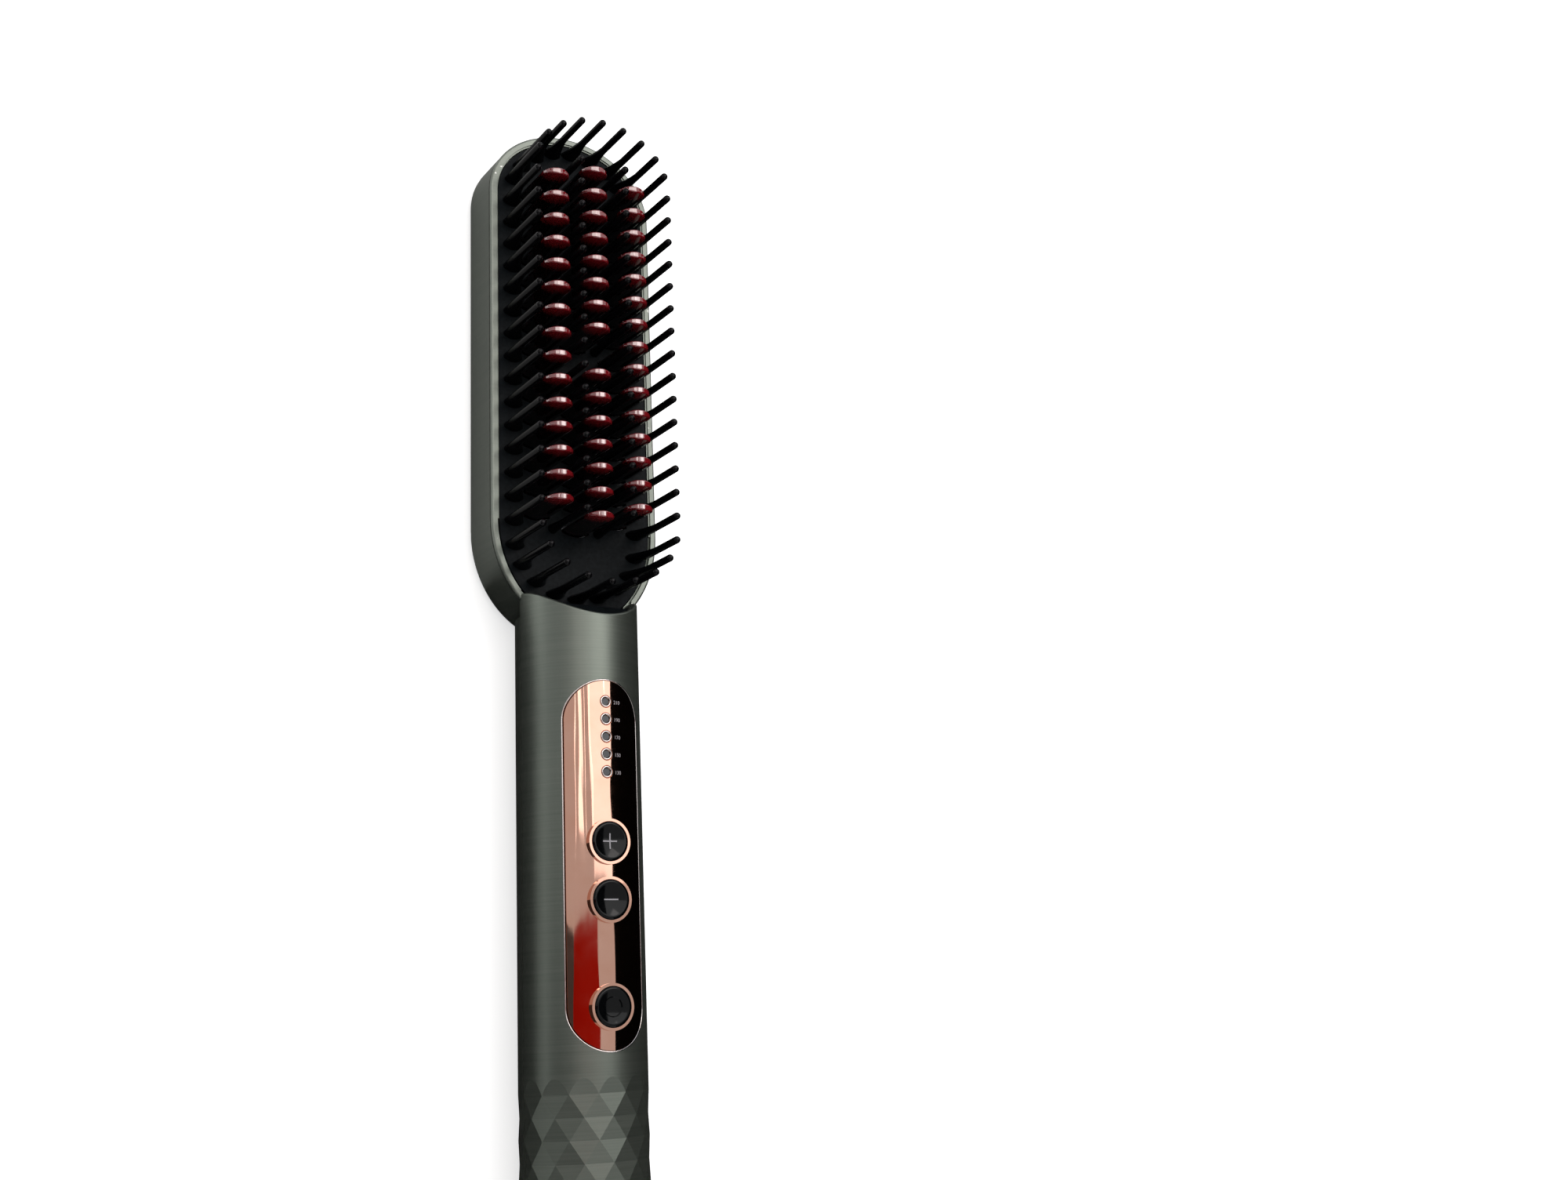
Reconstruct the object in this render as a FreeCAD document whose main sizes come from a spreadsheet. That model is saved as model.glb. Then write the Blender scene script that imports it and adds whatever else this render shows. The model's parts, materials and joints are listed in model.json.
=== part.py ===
import FreeCAD, Part
import Sketcher
import math
import operator
import os
from types import SimpleNamespace

# A heated styling brush lying on its back: X across, Y towards the tip of the head, Z out of the bristles.
# Places along the brush are distances from the tip of the head.

# Driving dimensions in millimetres
DIMENSIONS = {
    # casing
    "total_length": 281.0,
    "handle_radius": 14.2,
    "shell_wall": 1.8,
    "end_wall": 2.2,
    "head_half_width": 21.4,
    "head_end": 18.2,
    "head_tail": 25.3,
    "back_radius": 3.0,
    "rim_height": 0.8,
    "rim_width": 1.5,
    "rim_round": 0.5,
    "lip_wall": 1.0,
    "skirt_wall": 0.8,
    "skirt_gap": 0.1,
    "seam_gap": 0.3,
    "seam_depth": 0.6,
    "ledge_width": 1.6,
    "ledge_thickness": 1.6,
    "cut_overrun": 1.0,
    # faceted grip
    "grip_lead": 8.6,
    "facet_row": 4.7,
    "facet_fade": 3.3,
    "grip_plain_end": 8.9,
    "handle_round": 1.2,
    # comb base
    "comb_gap": 0.6,
    "comb_drop": 0.5,
    "comb_thickness": 2.0,
    "chin_depth": 4.0,
    "chin_knee_back": 0.9,
    "chin_knee_rise": 7.8,
    "chin_gap": 0.2,
    # heated teeth
    "tooth_pitch": 5.8,
    "first_row": 15.4,
    "row_tail": 24.0,
    "tooth_column": 10.15,
    "tooth_length": 6.6,
    "tooth_root": 2.4,
    "tooth_crest": 1.5,
    "tooth_end": 0.6,
    "tooth_round": 0.3,
    "tooth_rise": 16.0,
    "tooth_shoulder": 2.4,
    "slot_gap": 0.25,
    # bristles
    "inner_column": 5.85,
    "outer_column": 17.2,
    "ring_lead": 0.8,
    "ring_end": 13.8,
    "ring_drop": 21.5,
    "bristle_rise": 19.4,
    "pin_radius": 0.85,
    "fin_length": 4.8,
    "fin_thickness": 2.6,
    "fin_rise": 10.0,
    "inner_foot_radius": 1.2,
    "root_radius": 0.55,
    "root_depth": 1.5,
    "root_gap": 0.05,
    # heater
    "plate_thickness": 2.3,
    "plate_half_width": 14.6,
    "plate_margin": 3.4,
    "ceramic_inset": 8.9,
    "ceramic_width": 11.0,
    "ceramic_thickness": 1.3,
    "clamp_end": 3.9,
    "clamp_sheet": 0.8,
    "clamp_side_gap": 0.3,
    "clamp_flange": 4.6,
    "clamp_screw_radius": 1.0,
    "clamp_screw_bite": 1.3,
    "clamp_head_radius": 1.9,
    "clamp_head": 1.2,
    "thread_gap": 0.05,
    "mica_half_width": 17.0,
    "mica_thickness": 0.5,
    "mica_drop": 6.3,
    "rib_thickness": 1.4,
    "sensor_width": 3.0,
    "sensor_length": 4.5,
    "sensor_thickness": 1.6,
    "fuse_radius": 1.8,
    "fuse_length": 9.0,
    "fuse_gap": 5.9,
    "side_part_offset": 9.2,
    "side_part_margin": 2.0,
    # housing screws
    "boss_radius": 2.9,
    "boss_joint": 8.0,
    "joint_gap": 0.05,
    "boss_top_x": 8.0,
    "boss_top_lead": 6.4,
    "boss_low_x": 14.0,
    "boss_low_lead": 8.8,
    "screw_radius": 1.3,
    "screw_length": 9.2,
    "screw_head_radius": 2.4,
    "screw_head": 1.8,
    "screw_sink": 0.4,
    "screw_clearance": 0.15,
    # control panel
    "panel_lead": 14.3,
    "panel_length": 80.3,
    "panel_width": 17.8,
    "panel_gap": 0.1,
    "panel_proud": 0.15,
    "panel_wall": 1.2,
    "panel_ledge": 1.5,
    "panel_bevel": 0.35,
    "light_lead": 4.7,
    "light_pitch": 3.96,
    "lens_radius": 0.8,
    "lens_gap": 0.1,
    "lens_dish_radius": 1.5,
    "lens_dish_depth": 0.5,
    "guide_bar_width": 4.0,
    "guide_bar_thickness": 1.4,
    "guide_bar_margin": 1.6,
    # buttons
    "button_radius": 4.3,
    "button_gap": 0.1,
    "button_rise": 1.05,
    "button_edge": 0.45,
    "button_dish": 0.25,
    "collar_wall": 0.6,
    "collar_rise": 0.75,
    "collar_depth": 4.2,
    "button_flange": 0.55,
    "button_flange_thickness": 0.8,
    "button_travel": 0.5,
    # circuit board
    "board_lead": 7.1,
    "board_tail": 10.6,
    "board_side_gap": 1.5,
    "board_thickness": 1.6,
    "board_depth": 9.6,
    "post_side": 3.4,
    "post_inset": 3.2,
    "post_radius": 2.0,
    "board_screw_radius": 0.9,
    "board_screw_bite": 4.0,
    "board_head_radius": 1.7,
    "board_head": 1.1,
    "switch_side": 6.0,
    "switch_height": 3.5,
    "plunger_radius": 1.6,
    "plunger_gap": 0.1,
    "plunger_out": 0.8,
    "led_length": 1.6,
    "led_width": 1.2,
    "led_height": 0.7,
    "led_gap": 0.3,
    "chip_length": 8.0,
    "chip_width": 6.0,
    "chip_height": 1.7,
    "triac_length": 13.0,
    "triac_width": 9.0,
    "triac_height": 4.4,
    "triac_lead": 24.0,
    "capacitor_length": 16.0,
    "capacitor_width": 8.0,
    "capacitor_height": 8.5,
    "capacitor_lead": 56.0,
    # handle screws
    "handle_screw_tail": 5.4,
    # cord swivel
    "swivel_lead": 20.9,
    "gland_out": 9.0,
    "gland_nose_radius": 7.6,
    "gland_tip_radius": 5.6,
    "gland_neck_radius": 5.2,
    "cord_bore_radius": 3.1,
    "gland_play": 0.3,
    "gland_collar_radius": 7.2,
    "gland_collar": 2.0,
    "gland_tail": 13.4,
    "swivel_gap": 0.1,
    "bush_wall": 1.6,
    "bush_flange": 1.5,
    "bush_flange_thickness": 1.2,
    "slip_ring_wall": 1.2,
    "slip_ring_width": 2.0,
    "slip_ring_lead": 2.0,
    "slip_ring_step": 4.0,
    "contact_gap": 0.1,
    "contact_height": 0.7,
    "contact_half_width": 2.5,
    "holder_half_width": 5.0,
    "holder_margin": 1.4,
    # leads
    "heater_lead_radius": 0.6,
    "sensor_lead_radius": 0.5,
    "mains_lead_radius": 1.0,
    "link_inset": 1.6,
    "lead_end_inset": 8.0,
    "lead_column": 5.5,
    "sensor_lead_step": 1.6,
    "sensor_end_column": 8.0,
    "mains_start_x": 3.0,
    "mains_column": 6.0,
    "mains_end_inset": 9.0,
}

CLAMP_END_STEP = 7
RING_END_STEPS = 4
FACETS_AROUND = 14
LIGHTS = 5
EDGE_POINTS = 5

# Shares of the sizes that they follow
OUTLINE_SHARE = 0.004
NECK_SHARE = 0.8
NECK_CAVITY_SHARE = 0.7
MID_SHARE = 0.5
FIN_LEVEL_SHARE = 0.45
FIN_WAIST_SHARE = 0.35
FIN_NECK_SHARE = 0.9
EDGE_SHARE = 0.3
DISH_SHARE = 0.75
LEAD_TURN_SHARE = 0.45
HEATER_LEAD_SHARES = (0.3, 0.25, 0.75)
MAINS_LEAD_SHARES = (0.5, 0.2, 0.6)
LINK_SHARE = 0.42
RIB_SHARE = 0.3625
BUTTON_SHARES = (0.44782, 0.60486, 0.88755)

doc = FreeCAD.newDocument("heated_styling_brush")
sheet = doc.addObject("Spreadsheet::Sheet", "sizes")
for row, (alias, number) in enumerate(DIMENSIONS.items(), start=1):
    sheet.set(f"A{row}", alias)
    sheet.set(f"B{row}", str(number))
    sheet.setAlias(f"B{row}", alias)
doc.recompute()


class Size:
    """A length with its value and the sheet formula that it comes from."""

    def __init__(self, text, value):
        self.text = text
        self.value = value

    def __add__(self, other):
        return combine(self, "+", other)

    def __radd__(self, other):
        return combine(other, "+", self)

    def __sub__(self, other):
        return combine(self, "-", other)

    def __rsub__(self, other):
        return combine(other, "-", self)

    def __mul__(self, other):
        return combine(self, "*", other)

    def __rmul__(self, other):
        return combine(other, "*", self)

    def __truediv__(self, other):
        return combine(self, "/", other)

    def __neg__(self):
        return combine(0, "-", self)

    def __float__(self):
        return self.value


SIGNS = {"+": operator.add, "-": operator.sub, "*": operator.mul, "/": operator.truediv}


def as_size(item):
    return item if isinstance(item, Size) else Size(repr(item), float(item))


def combine(left, sign, right):
    left, right = as_size(left), as_size(right)
    return Size(f"({left.text} {sign} {right.text})", SIGNS[sign](left.value, right.value))


def root(item):
    return Size(f"sqrt({item.text})", math.sqrt(item.value))


size = SimpleNamespace(**{alias: Size(f"sizes.{alias}", float(sheet.get(alias))) for alias in DIMENSIONS})


def along(distance):
    """The Y of a distance from the tip of the head."""
    return size.total_length / 2 - distance


def span(start, end):
    """The low and high Y of a stretch given by its distances from the tip."""
    return along(end), along(start)


# Levels above the back
axis = size.handle_radius
rim_top = axis + size.rim_height
comb_top = rim_top - size.comb_drop
comb_under = comb_top - size.comb_thickness
ledge_under = comb_under - size.ledge_thickness
plate_under = comb_under - size.plate_thickness
ceramic_under = plate_under - size.ceramic_thickness
mica_under = plate_under - size.mica_drop
board_level = size.handle_radius - size.board_depth
board_top = axis + board_level
board_under = board_top - size.board_thickness
plunger_top = board_top + size.switch_height + size.plunger_out
panel_radius = size.handle_radius + size.panel_proud
panel_inner_radius = panel_radius - size.panel_wall
handle_bore = size.handle_radius - size.shell_wall
board_half = root(handle_bore * handle_bore - board_level * board_level) - size.board_side_gap

# Distances from the tip; the handle is stacked up from its end, and the head takes the length that is left
handle_stop = size.total_length - size.gland_out
cavity_stop = handle_stop - size.end_wall
bush_start = cavity_stop - size.bush_flange_thickness
gland_start = bush_start - size.gland_play - size.gland_collar - size.gland_tail
board_stop = gland_start - size.swivel_lead
panel_stop = board_stop - size.board_tail
panel_start = panel_stop - size.panel_length
board_start = panel_start - size.board_lead
head_stop = panel_start - size.panel_lead
head_low_centre = head_stop - size.head_tail
grip_start = panel_stop + size.grip_lead
light_start = panel_start + size.light_lead
plus_place, minus_place, power_place = [panel_start + share * size.panel_length for share in BUTTON_SHARES]
handle_screw_places = ((head_stop + board_start) / 2, board_stop + size.handle_screw_tail)
ring_low_centre = head_stop - size.ring_drop

# Rows of teeth and bristles that the head has room for
tooth_rows = int(float(head_stop - size.first_row - size.row_tail) / float(size.tooth_pitch)) + 1
missing_middle_row = tooth_rows // 2
ring_rows = tooth_rows + 1
clamp_pitches = tooth_rows - 1 - 2 * (tooth_rows // CLAMP_END_STEP + 1)
last_row = size.first_row + (tooth_rows - 1) * size.tooth_pitch
plate_start = size.first_row - size.plate_margin
plate_stop = last_row + size.plate_margin
heater_middle = (plate_start + plate_stop) / 2
ceramic_start = plate_start + size.ceramic_inset
ceramic_stop = plate_stop - size.ceramic_inset
clamp_stop = heater_middle + clamp_pitches * size.tooth_pitch / 2 + size.clamp_end
clamp_start = 2 * heater_middle - clamp_stop

NODES = []


def node(feature, name):
    feature.Label = name
    NODES.append(feature)
    return feature


def place(feature, x, y, z):
    for letter, value in zip("xyz", (x, y, z)):
        feature.setExpression(f"Placement.Base.{letter}", as_size(value).text)
    return feature


def box(name, x, y, z):
    """A block; each argument is a low and high pair."""
    block = doc.addObject("Part::Box", name)
    for side, (low, high) in zip(("Length", "Width", "Height"), (x, y, z)):
        block.setExpression(side, (high - as_size(low)).text)
    return place(block, x[0], y[0], z[0])


ALONG_Y = FreeCAD.Rotation(FreeCAD.Vector(1, 0, 0), -90)


def rod_up(name, radius, x, y, z):
    rod = doc.addObject("Part::Cylinder", name)
    rod.setExpression("Radius", radius.text)
    rod.setExpression("Height", (z[1] - as_size(z[0])).text)
    return place(rod, x, y, z[0])


def rod_along(name, radius, x, y, z):
    rod = doc.addObject("Part::Cylinder", name)
    rod.setExpression("Radius", radius.text)
    rod.setExpression("Height", (y[1] - y[0]).text)
    rod.Placement.Rotation = ALONG_Y
    return place(rod, x, y[0], z)


def join(name, *shapes):
    fused = doc.addObject("Part::MultiFuse", name)
    fused.Shapes = list(shapes)
    fused.Refine = True
    return fused


def group(name, *shapes):
    bundle = doc.addObject("Part::Compound", name)
    bundle.Links = list(shapes)
    return bundle


def cut(name, base, *tools):
    result = doc.addObject("Part::Cut", name)
    result.Base = base
    result.Tool = tools[0] if len(tools) == 1 else join(f"{name}_tools", *tools)
    result.Refine = True
    return result


def overlap(name, *shapes):
    common = doc.addObject("Part::MultiCommon", name)
    common.Shapes = list(shapes)
    common.Refine = True
    return common


def form(name, shape):
    feature = doc.addObject("Part::Feature", name)
    feature.Shape = shape
    return feature


def vector(x, y, z):
    return FreeCAD.Vector(float(x), float(y), float(z))


def moved(shape, x, y, z):
    copy = shape.copy()
    copy.translate(vector(x, y, z))
    return copy


# Sketched bodies
def origin_plane(body, role):
    return next(item for item in body.Origin.OriginFeatures if item.Role == role)


def sketch_outline(body, role, points):
    """A closed outline whose corners are held to the sheet by a pair of constraints each."""
    sketch = body.newObject("Sketcher::SketchObject", f"{body.Name}_outline")
    sketch.AttachmentSupport = (origin_plane(body, role), [""])
    sketch.MapMode = "FlatFace"
    corners = [vector(x, y, 0) for x, y in points]
    for index, corner in enumerate(corners):
        sketch.addGeometry(Part.LineSegment(corner, corners[(index + 1) % len(corners)]), False)
    count = len(corners)
    for index in range(count):
        sketch.addConstraint(Sketcher.Constraint("Coincident", index, 2, (index + 1) % count, 1))
    for index, corner in enumerate(points):
        for kind, line, value in zip(("DistanceX", "DistanceY"), (-2, -1), corner):
            if isinstance(value, Size):
                number = sketch.addConstraint(Sketcher.Constraint(kind, -1, 1, index, 1, float(value)))
                sketch.setExpression(f"Constraints[{number}]", value.text)
            else:
                sketch.addConstraint(Sketcher.Constraint("PointOnObject", index, 1, line))
    return sketch


def turned(name, points):
    """A body of revolution about Z from an outline of radius and height."""
    body = doc.addObject("PartDesign::Body", name)
    profile = sketch_outline(body, "XZ_Plane", points)
    turn = body.newObject("PartDesign::Revolution", f"{name}_turn")
    turn.Profile = profile
    turn.ReferenceAxis = (profile, ["V_Axis"])
    turn.Angle = 360
    return body


def pressed(name, points, length):
    """A section in X and Z drawn out along Y."""
    body = doc.addObject("PartDesign::Body", name)
    profile = sketch_outline(body, "XZ_Plane", points)
    pad = body.newObject("PartDesign::Pad", f"{name}_pad")
    pad.Profile = profile
    pad.setExpression("Length", length.text)
    return body


# Outline of the head
def ellipse_arc(centre_y, half_width, reach, start):
    """Half an ellipse, from a start angle measured from +X."""
    centre = vector(0, centre_y, 0)
    if half_width >= reach:
        curve = Part.Ellipse(centre, half_width, reach)
    else:
        curve = Part.Ellipse(centre + vector(0, reach, 0), centre - vector(half_width, 0, 0), centre)
        start = start - math.pi / 2
    return Part.ArcOfEllipse(curve, start, start + math.pi).toShape()


def oval_prism(inset, low, high, rounding=None):
    """The head's outline drawn in by an inset, between two levels; its lower edge may be rounded."""
    inset, low, high = float(inset), float(low), float(high)
    half_width = float(size.head_half_width) - inset
    tip_y, tail_y = float(along(size.head_end)), float(along(head_low_centre))
    edges = [
        ellipse_arc(tip_y, half_width, float(size.head_end) - inset, 0),
        Part.makeLine(vector(-half_width, tip_y, 0), vector(-half_width, tail_y, 0)),
        ellipse_arc(tail_y, half_width, float(size.head_tail) - inset, math.pi),
        Part.makeLine(vector(half_width, tail_y, 0), vector(half_width, tip_y, 0)),
    ]
    prism = Part.Face(Part.Wire(edges)).extrude(vector(0, 0, high - low))
    if rounding is not None:
        lower_edges = [edge for edge in prism.Edges if edge.BoundBox.ZMax < (high - low) / 2]
        prism = prism.makeFillet(float(rounding), lower_edges)
    return moved(prism, 0, 0, low)


# Faceted handle
def facet_corner(distance, turn):
    """A point on the handle's skin, turned from the top."""
    radius = float(size.handle_radius)
    return vector(radius * math.sin(turn), along(distance), float(axis) + radius * math.cos(turn))


def facet_row(distance, offset):
    step = 2 * math.pi / FACETS_AROUND
    return [facet_corner(distance, (index + offset) * step) for index in range(FACETS_AROUND)]


def polygon_face(*corners):
    return Part.Face(Part.makePolygon(list(corners) + [corners[0]]))


def facet_solid(rows):
    """Flat triangles between rows of corners that are staggered by half a facet."""
    count = FACETS_AROUND
    faces = [polygon_face(*rows[0]), polygon_face(*rows[-1])]
    for number, (upper, lower) in enumerate(zip(rows, rows[1:])):
        lead = 1 - number % 2
        for index in range(count):
            following = (index + 1) % count
            faces.append(polygon_face(upper[index], upper[following], lower[(index + lead) % count]))
            faces.append(polygon_face(lower[index], lower[following], upper[(index + 1 - lead) % count]))
    solid = Part.Solid(Part.Shell(faces))
    return solid if solid.Volume > 0 else solid.reversed()


def fade_cuts(distance, offset, fade):
    """Wedges that let the first or last facets fade into the round handle."""
    step = 2 * math.pi / FACETS_AROUND
    reach = size.handle_radius.value
    wedges = []
    for index in range(FACETS_AROUND):
        left = facet_corner(distance, (index + offset) * step)
        right = facet_corner(distance, (index + offset + 1) * step)
        apex = facet_corner(distance - fade, (index + offset + MID_SHARE) * step)
        middle = (left + right) * MID_SHARE
        outward = FreeCAD.Vector(middle.x, 0, middle.z - float(axis)).normalize()
        rise = apex - middle
        foot, crown = middle - rise * MID_SHARE, middle + rise * 2
        section = polygon_face(foot, crown, crown + outward * reach, foot + outward * reach)
        chord = right - left
        section.translate(chord * -1)
        wedges.append(section.extrude(chord * 2))
    return wedges


def handle_solid():
    """The whole handle from the middle of the head's tail, before it is split."""
    last = handle_stop - size.grip_plain_end
    count = int((float(last) - float(grip_start)) / float(size.facet_row)) + 1
    distances = [grip_start + index * size.facet_row for index in range(count)]
    offsets = [MID_SHARE if index % 2 == 0 else 0 for index in range(count)]
    grip = facet_solid([facet_row(*pair) for pair in zip(distances, offsets)])

    def barrel(start, end):
        low, high = span(start, end)
        return Part.makeCylinder(float(axis), float(high - low), vector(0, low, axis), vector(0, 1, 0))

    upper = barrel(head_low_centre, distances[0])
    for wedge in fade_cuts(distances[0], offsets[0], size.facet_fade):
        upper = upper.cut(wedge)
    lower = barrel(distances[-1], handle_stop)
    end_limit = float(along(handle_stop - size.handle_round))
    end_edges = [edge for edge in lower.Edges if edge.BoundBox.YMax < end_limit]
    lower = lower.makeFillet(float(size.handle_round), end_edges)
    for wedge in fade_cuts(distances[-1], offsets[-1], -size.facet_fade):
        lower = lower.cut(wedge)
    return upper.fuse([grip, lower]).removeSplitter()


# Places of the screws and spaces that cut the casing
side_reach = size.head_half_width + size.cut_overrun
across = (-side_reach, side_reach)
before_tip = -size.cut_overrun
above_axis = (axis, axis + size.handle_radius + size.cut_overrun)
below_axis = (-size.cut_overrun, axis)
neck_start = head_stop - NECK_SHARE * size.back_radius
neck_cavity = head_stop - NECK_CAVITY_SHARE * size.back_radius
boss_places = [
    (side * x, along(distance))
    for x, distance in (
        (size.boss_top_x, size.first_row - size.boss_top_lead),
        (size.boss_low_x, last_row + size.boss_low_lead),
    )
    for side in (-1, 1)
]
post_places = [
    (side * (board_half - size.post_side), along(distance))
    for distance in (board_start + size.post_inset, board_stop - size.post_inset)
    for side in (-1, 1)
]
handle_places = [(as_size(0), along(distance)) for distance in handle_screw_places]
screw_places = boss_places + handle_places
bush_bore = size.gland_neck_radius + size.swivel_gap
bush_radius = bush_bore + size.bush_wall
screw_seat = size.screw_sink + size.screw_head
screw_top = screw_seat + size.screw_length
pilot_radius = size.screw_radius + size.thread_gap
handle_form = form("handle_form", handle_solid())


def end_hole(name):
    low, high = span(cavity_stop - size.cut_overrun, handle_stop + size.cut_overrun)
    return rod_along(name, bush_radius + size.joint_gap, 0, (low, high), axis)


def spread(name, places, make):
    """One feature at each place, numbered."""
    return [make(f"{name}_{number}", x, y) for number, (x, y) in enumerate(places, start=1)]


# Rear housing
rear_solid = join(
    "rear_solid",
    form("rear_head", oval_prism(0, 0, axis, size.back_radius)),
    overlap(
        "rear_handle",
        handle_form,
        box("rear_handle_space", across, span(neck_start, size.total_length), below_axis),
    ),
)
lip_floor = ledge_under - size.skirt_gap
neck_run = span(head_low_centre, neck_cavity + size.cut_overrun)
rear_hollow = cut(
    "rear_hollow",
    rear_solid,
    form(
        "rear_head_cavity",
        oval_prism(
            size.shell_wall, size.shell_wall, axis + size.cut_overrun, size.back_radius - size.shell_wall
        ),
    ),
    rod_along("rear_handle_cavity", handle_bore, 0, span(neck_cavity, cavity_stop), axis),
    overlap(
        "rear_neck_cavity",
        rod_along("rear_neck_bore", handle_bore, 0, neck_run, axis),
        box("rear_neck_space", across, neck_run, (MID_SHARE * axis, axis + size.cut_overrun)),
    ),
    overlap(
        "rear_lip_cut",
        form("rear_lip_oval", oval_prism(size.lip_wall, lip_floor, axis + size.cut_overrun)),
        box(
            "rear_lip_space",
            across,
            span(before_tip, head_low_centre + size.skirt_gap),
            (lip_floor, axis + size.cut_overrun),
        ),
    ),
)
floor_middle = MID_SHARE * size.shell_wall
rib_spacing = RIB_SHARE * (plate_stop - plate_start)
rear_ribs = [
    box(
        f"rear_rib_{number}",
        (-size.mica_half_width, size.mica_half_width),
        span(
            heater_middle + number * rib_spacing - size.rib_thickness / 2,
            heater_middle + number * rib_spacing + size.rib_thickness / 2,
        ),
        (floor_middle, mica_under),
    )
    for number in (-1, 0, 1)
]
rear_filled = join(
    "rear_filled",
    rear_hollow,
    *rear_ribs,
    *spread(
        "rear_boss",
        screw_places,
        lambda name, x, y: rod_up(name, size.boss_radius, x, y, (floor_middle, size.boss_joint)),
    ),
)
seam_heights = (axis - size.seam_gap, axis + size.cut_overrun)
seam_groove = cut(
    "seam_groove",
    box("seam_slab", across, span(before_tip, size.total_length), seam_heights),
    form("seam_head", oval_prism(size.seam_depth, axis - size.cut_overrun, axis + 2 * size.cut_overrun)),
    rod_along(
        "seam_handle",
        size.handle_radius - size.seam_depth,
        0,
        span(head_low_centre, size.total_length + size.cut_overrun),
        axis,
    ),
)
rear_housing = cut(
    "rear_housing_cut",
    rear_filled,
    seam_groove,
    end_hole("rear_end_hole"),
    *spread(
        "rear_screw_hole",
        screw_places,
        lambda name, x, y: rod_up(
            name,
            size.screw_radius + size.screw_clearance,
            x,
            y,
            (-size.cut_overrun, size.boss_joint + size.cut_overrun),
        ),
    ),
    *spread(
        "rear_head_hole",
        screw_places,
        lambda name, x, y: rod_up(
            name, size.screw_head_radius + size.screw_clearance, x, y, (-size.cut_overrun, screw_seat)
        ),
    ),
)
node(rear_housing, "rear_housing")


# Long rounded outlines of the panel
def stadium(name, margin, height):
    """The panel's outline, grown by a margin, between two heights."""
    half = size.panel_width / 2 + margin
    low, high = span(panel_start - margin, panel_stop + margin)
    return join(
        name,
        box(f"{name}_middle", (-half, half), (low + half, high - half), height),
        rod_up(f"{name}_tip_end", half, 0, high - half, height),
        rod_up(f"{name}_tail_end", half, 0, low + half, height),
    )


panel_heights = (axis + MID_SHARE * size.handle_radius, axis + size.handle_radius + size.cut_overrun)
handle_run = span(panel_start - size.panel_width, panel_stop + size.panel_width)

shell_middle = handle_bore + MID_SHARE * size.shell_wall


def on_outline(point, inset):
    """Whether a point lies over the head's outline drawn in by an inset."""
    reach = float(along(size.head_end)), float(along(head_low_centre))
    past = max(point.y - reach[0], reach[1] - point.y, 0)
    end = float(size.head_end if point.y > reach[0] else size.head_tail) - float(inset)
    share = math.hypot(point.x / (float(size.head_half_width) - float(inset)), past / end)
    return abs(share - 1) < OUTLINE_SHARE


def on_rim(point):
    return on_outline(point, 0) and point.z > float(rim_top - size.rim_round)


def on_recess(point):
    skin = math.hypot(point.x, point.z - float(axis))
    return on_outline(point, size.rim_width) and skin > float(shell_middle)


def rounded(name, base, lies_on):
    """A fillet on the edges that lie wholly on a line."""
    doc.recompute()
    radius = float(size.rim_round)
    fillet = doc.addObject("Part::Fillet", name)
    fillet.Base = base
    fillet.Edges = [
        (number, radius, radius)
        for number, edge in enumerate(base.Shape.Edges, start=1)
        if all(lies_on(point) for point in edge.discretize(EDGE_POINTS))
    ]
    return fillet


# Head frame: the rim, with a skirt and a ledge inside it
skirt_inset = size.lip_wall + size.skirt_gap
skirt_inner = skirt_inset + size.skirt_wall
ledge_heights = (ledge_under - size.cut_overrun, axis + size.cut_overrun)
frame_skirt = overlap(
    "frame_skirt",
    cut(
        "frame_skirt_ring",
        form("frame_skirt_outer", oval_prism(skirt_inset, ledge_under, axis + size.rim_round)),
        form("frame_skirt_space", oval_prism(skirt_inner, comb_under, axis + size.cut_overrun)),
        form("frame_ledge_space", oval_prism(skirt_inner + size.ledge_width, *ledge_heights)),
    ),
    box(
        "frame_skirt_reach",
        across,
        span(before_tip, head_low_centre),
        ledge_heights,
    ),
)
frame_ring = cut(
    "frame_ring",
    form("frame_oval", oval_prism(0, axis, rim_top)),
    form("frame_recess", oval_prism(size.rim_width, axis - size.cut_overrun, rim_top + size.cut_overrun)),
    rod_along(
        "frame_handle_space",
        size.handle_radius + size.joint_gap,
        0,
        span(head_low_centre, head_stop + size.cut_overrun),
        axis,
    ),
)
node(join("head_frame_solid", rounded("frame_rounded", frame_ring, on_rim), frame_skirt), "head_frame")

# Front housing over the handle
front_hollow = cut(
    "front_hollow",
    overlap(
        "front_handle",
        handle_form,
        box("front_handle_space", across, span(head_low_centre, size.total_length), above_axis),
    ),
    form(
        "front_recess",
        oval_prism(size.rim_width, axis - size.cut_overrun, axis + size.handle_radius + size.cut_overrun),
    ),
    rod_along(
        "front_handle_cavity", handle_bore, 0, span(head_low_centre - size.cut_overrun, cavity_stop), axis
    ),
)
front_opened = cut(
    "front_opened",
    rounded("front_rounded", front_hollow, on_recess),
    cut(
        "panel_seat",
        stadium("panel_seat_outline", size.panel_gap, panel_heights),
        rod_along("panel_seat_floor", panel_inner_radius - size.joint_gap, 0, handle_run, axis),
    ),
    cut(
        "panel_bevel_space",
        stadium("panel_bevel_outline", size.panel_gap + size.panel_bevel, panel_heights),
        rod_along("panel_bevel_floor", size.handle_radius - size.panel_bevel, 0, handle_run, axis),
    ),
    stadium("panel_window", -size.panel_ledge, panel_heights),
)
post_reach = rod_along("post_reach", shell_middle, 0, span(head_low_centre, cavity_stop), axis)
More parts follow.
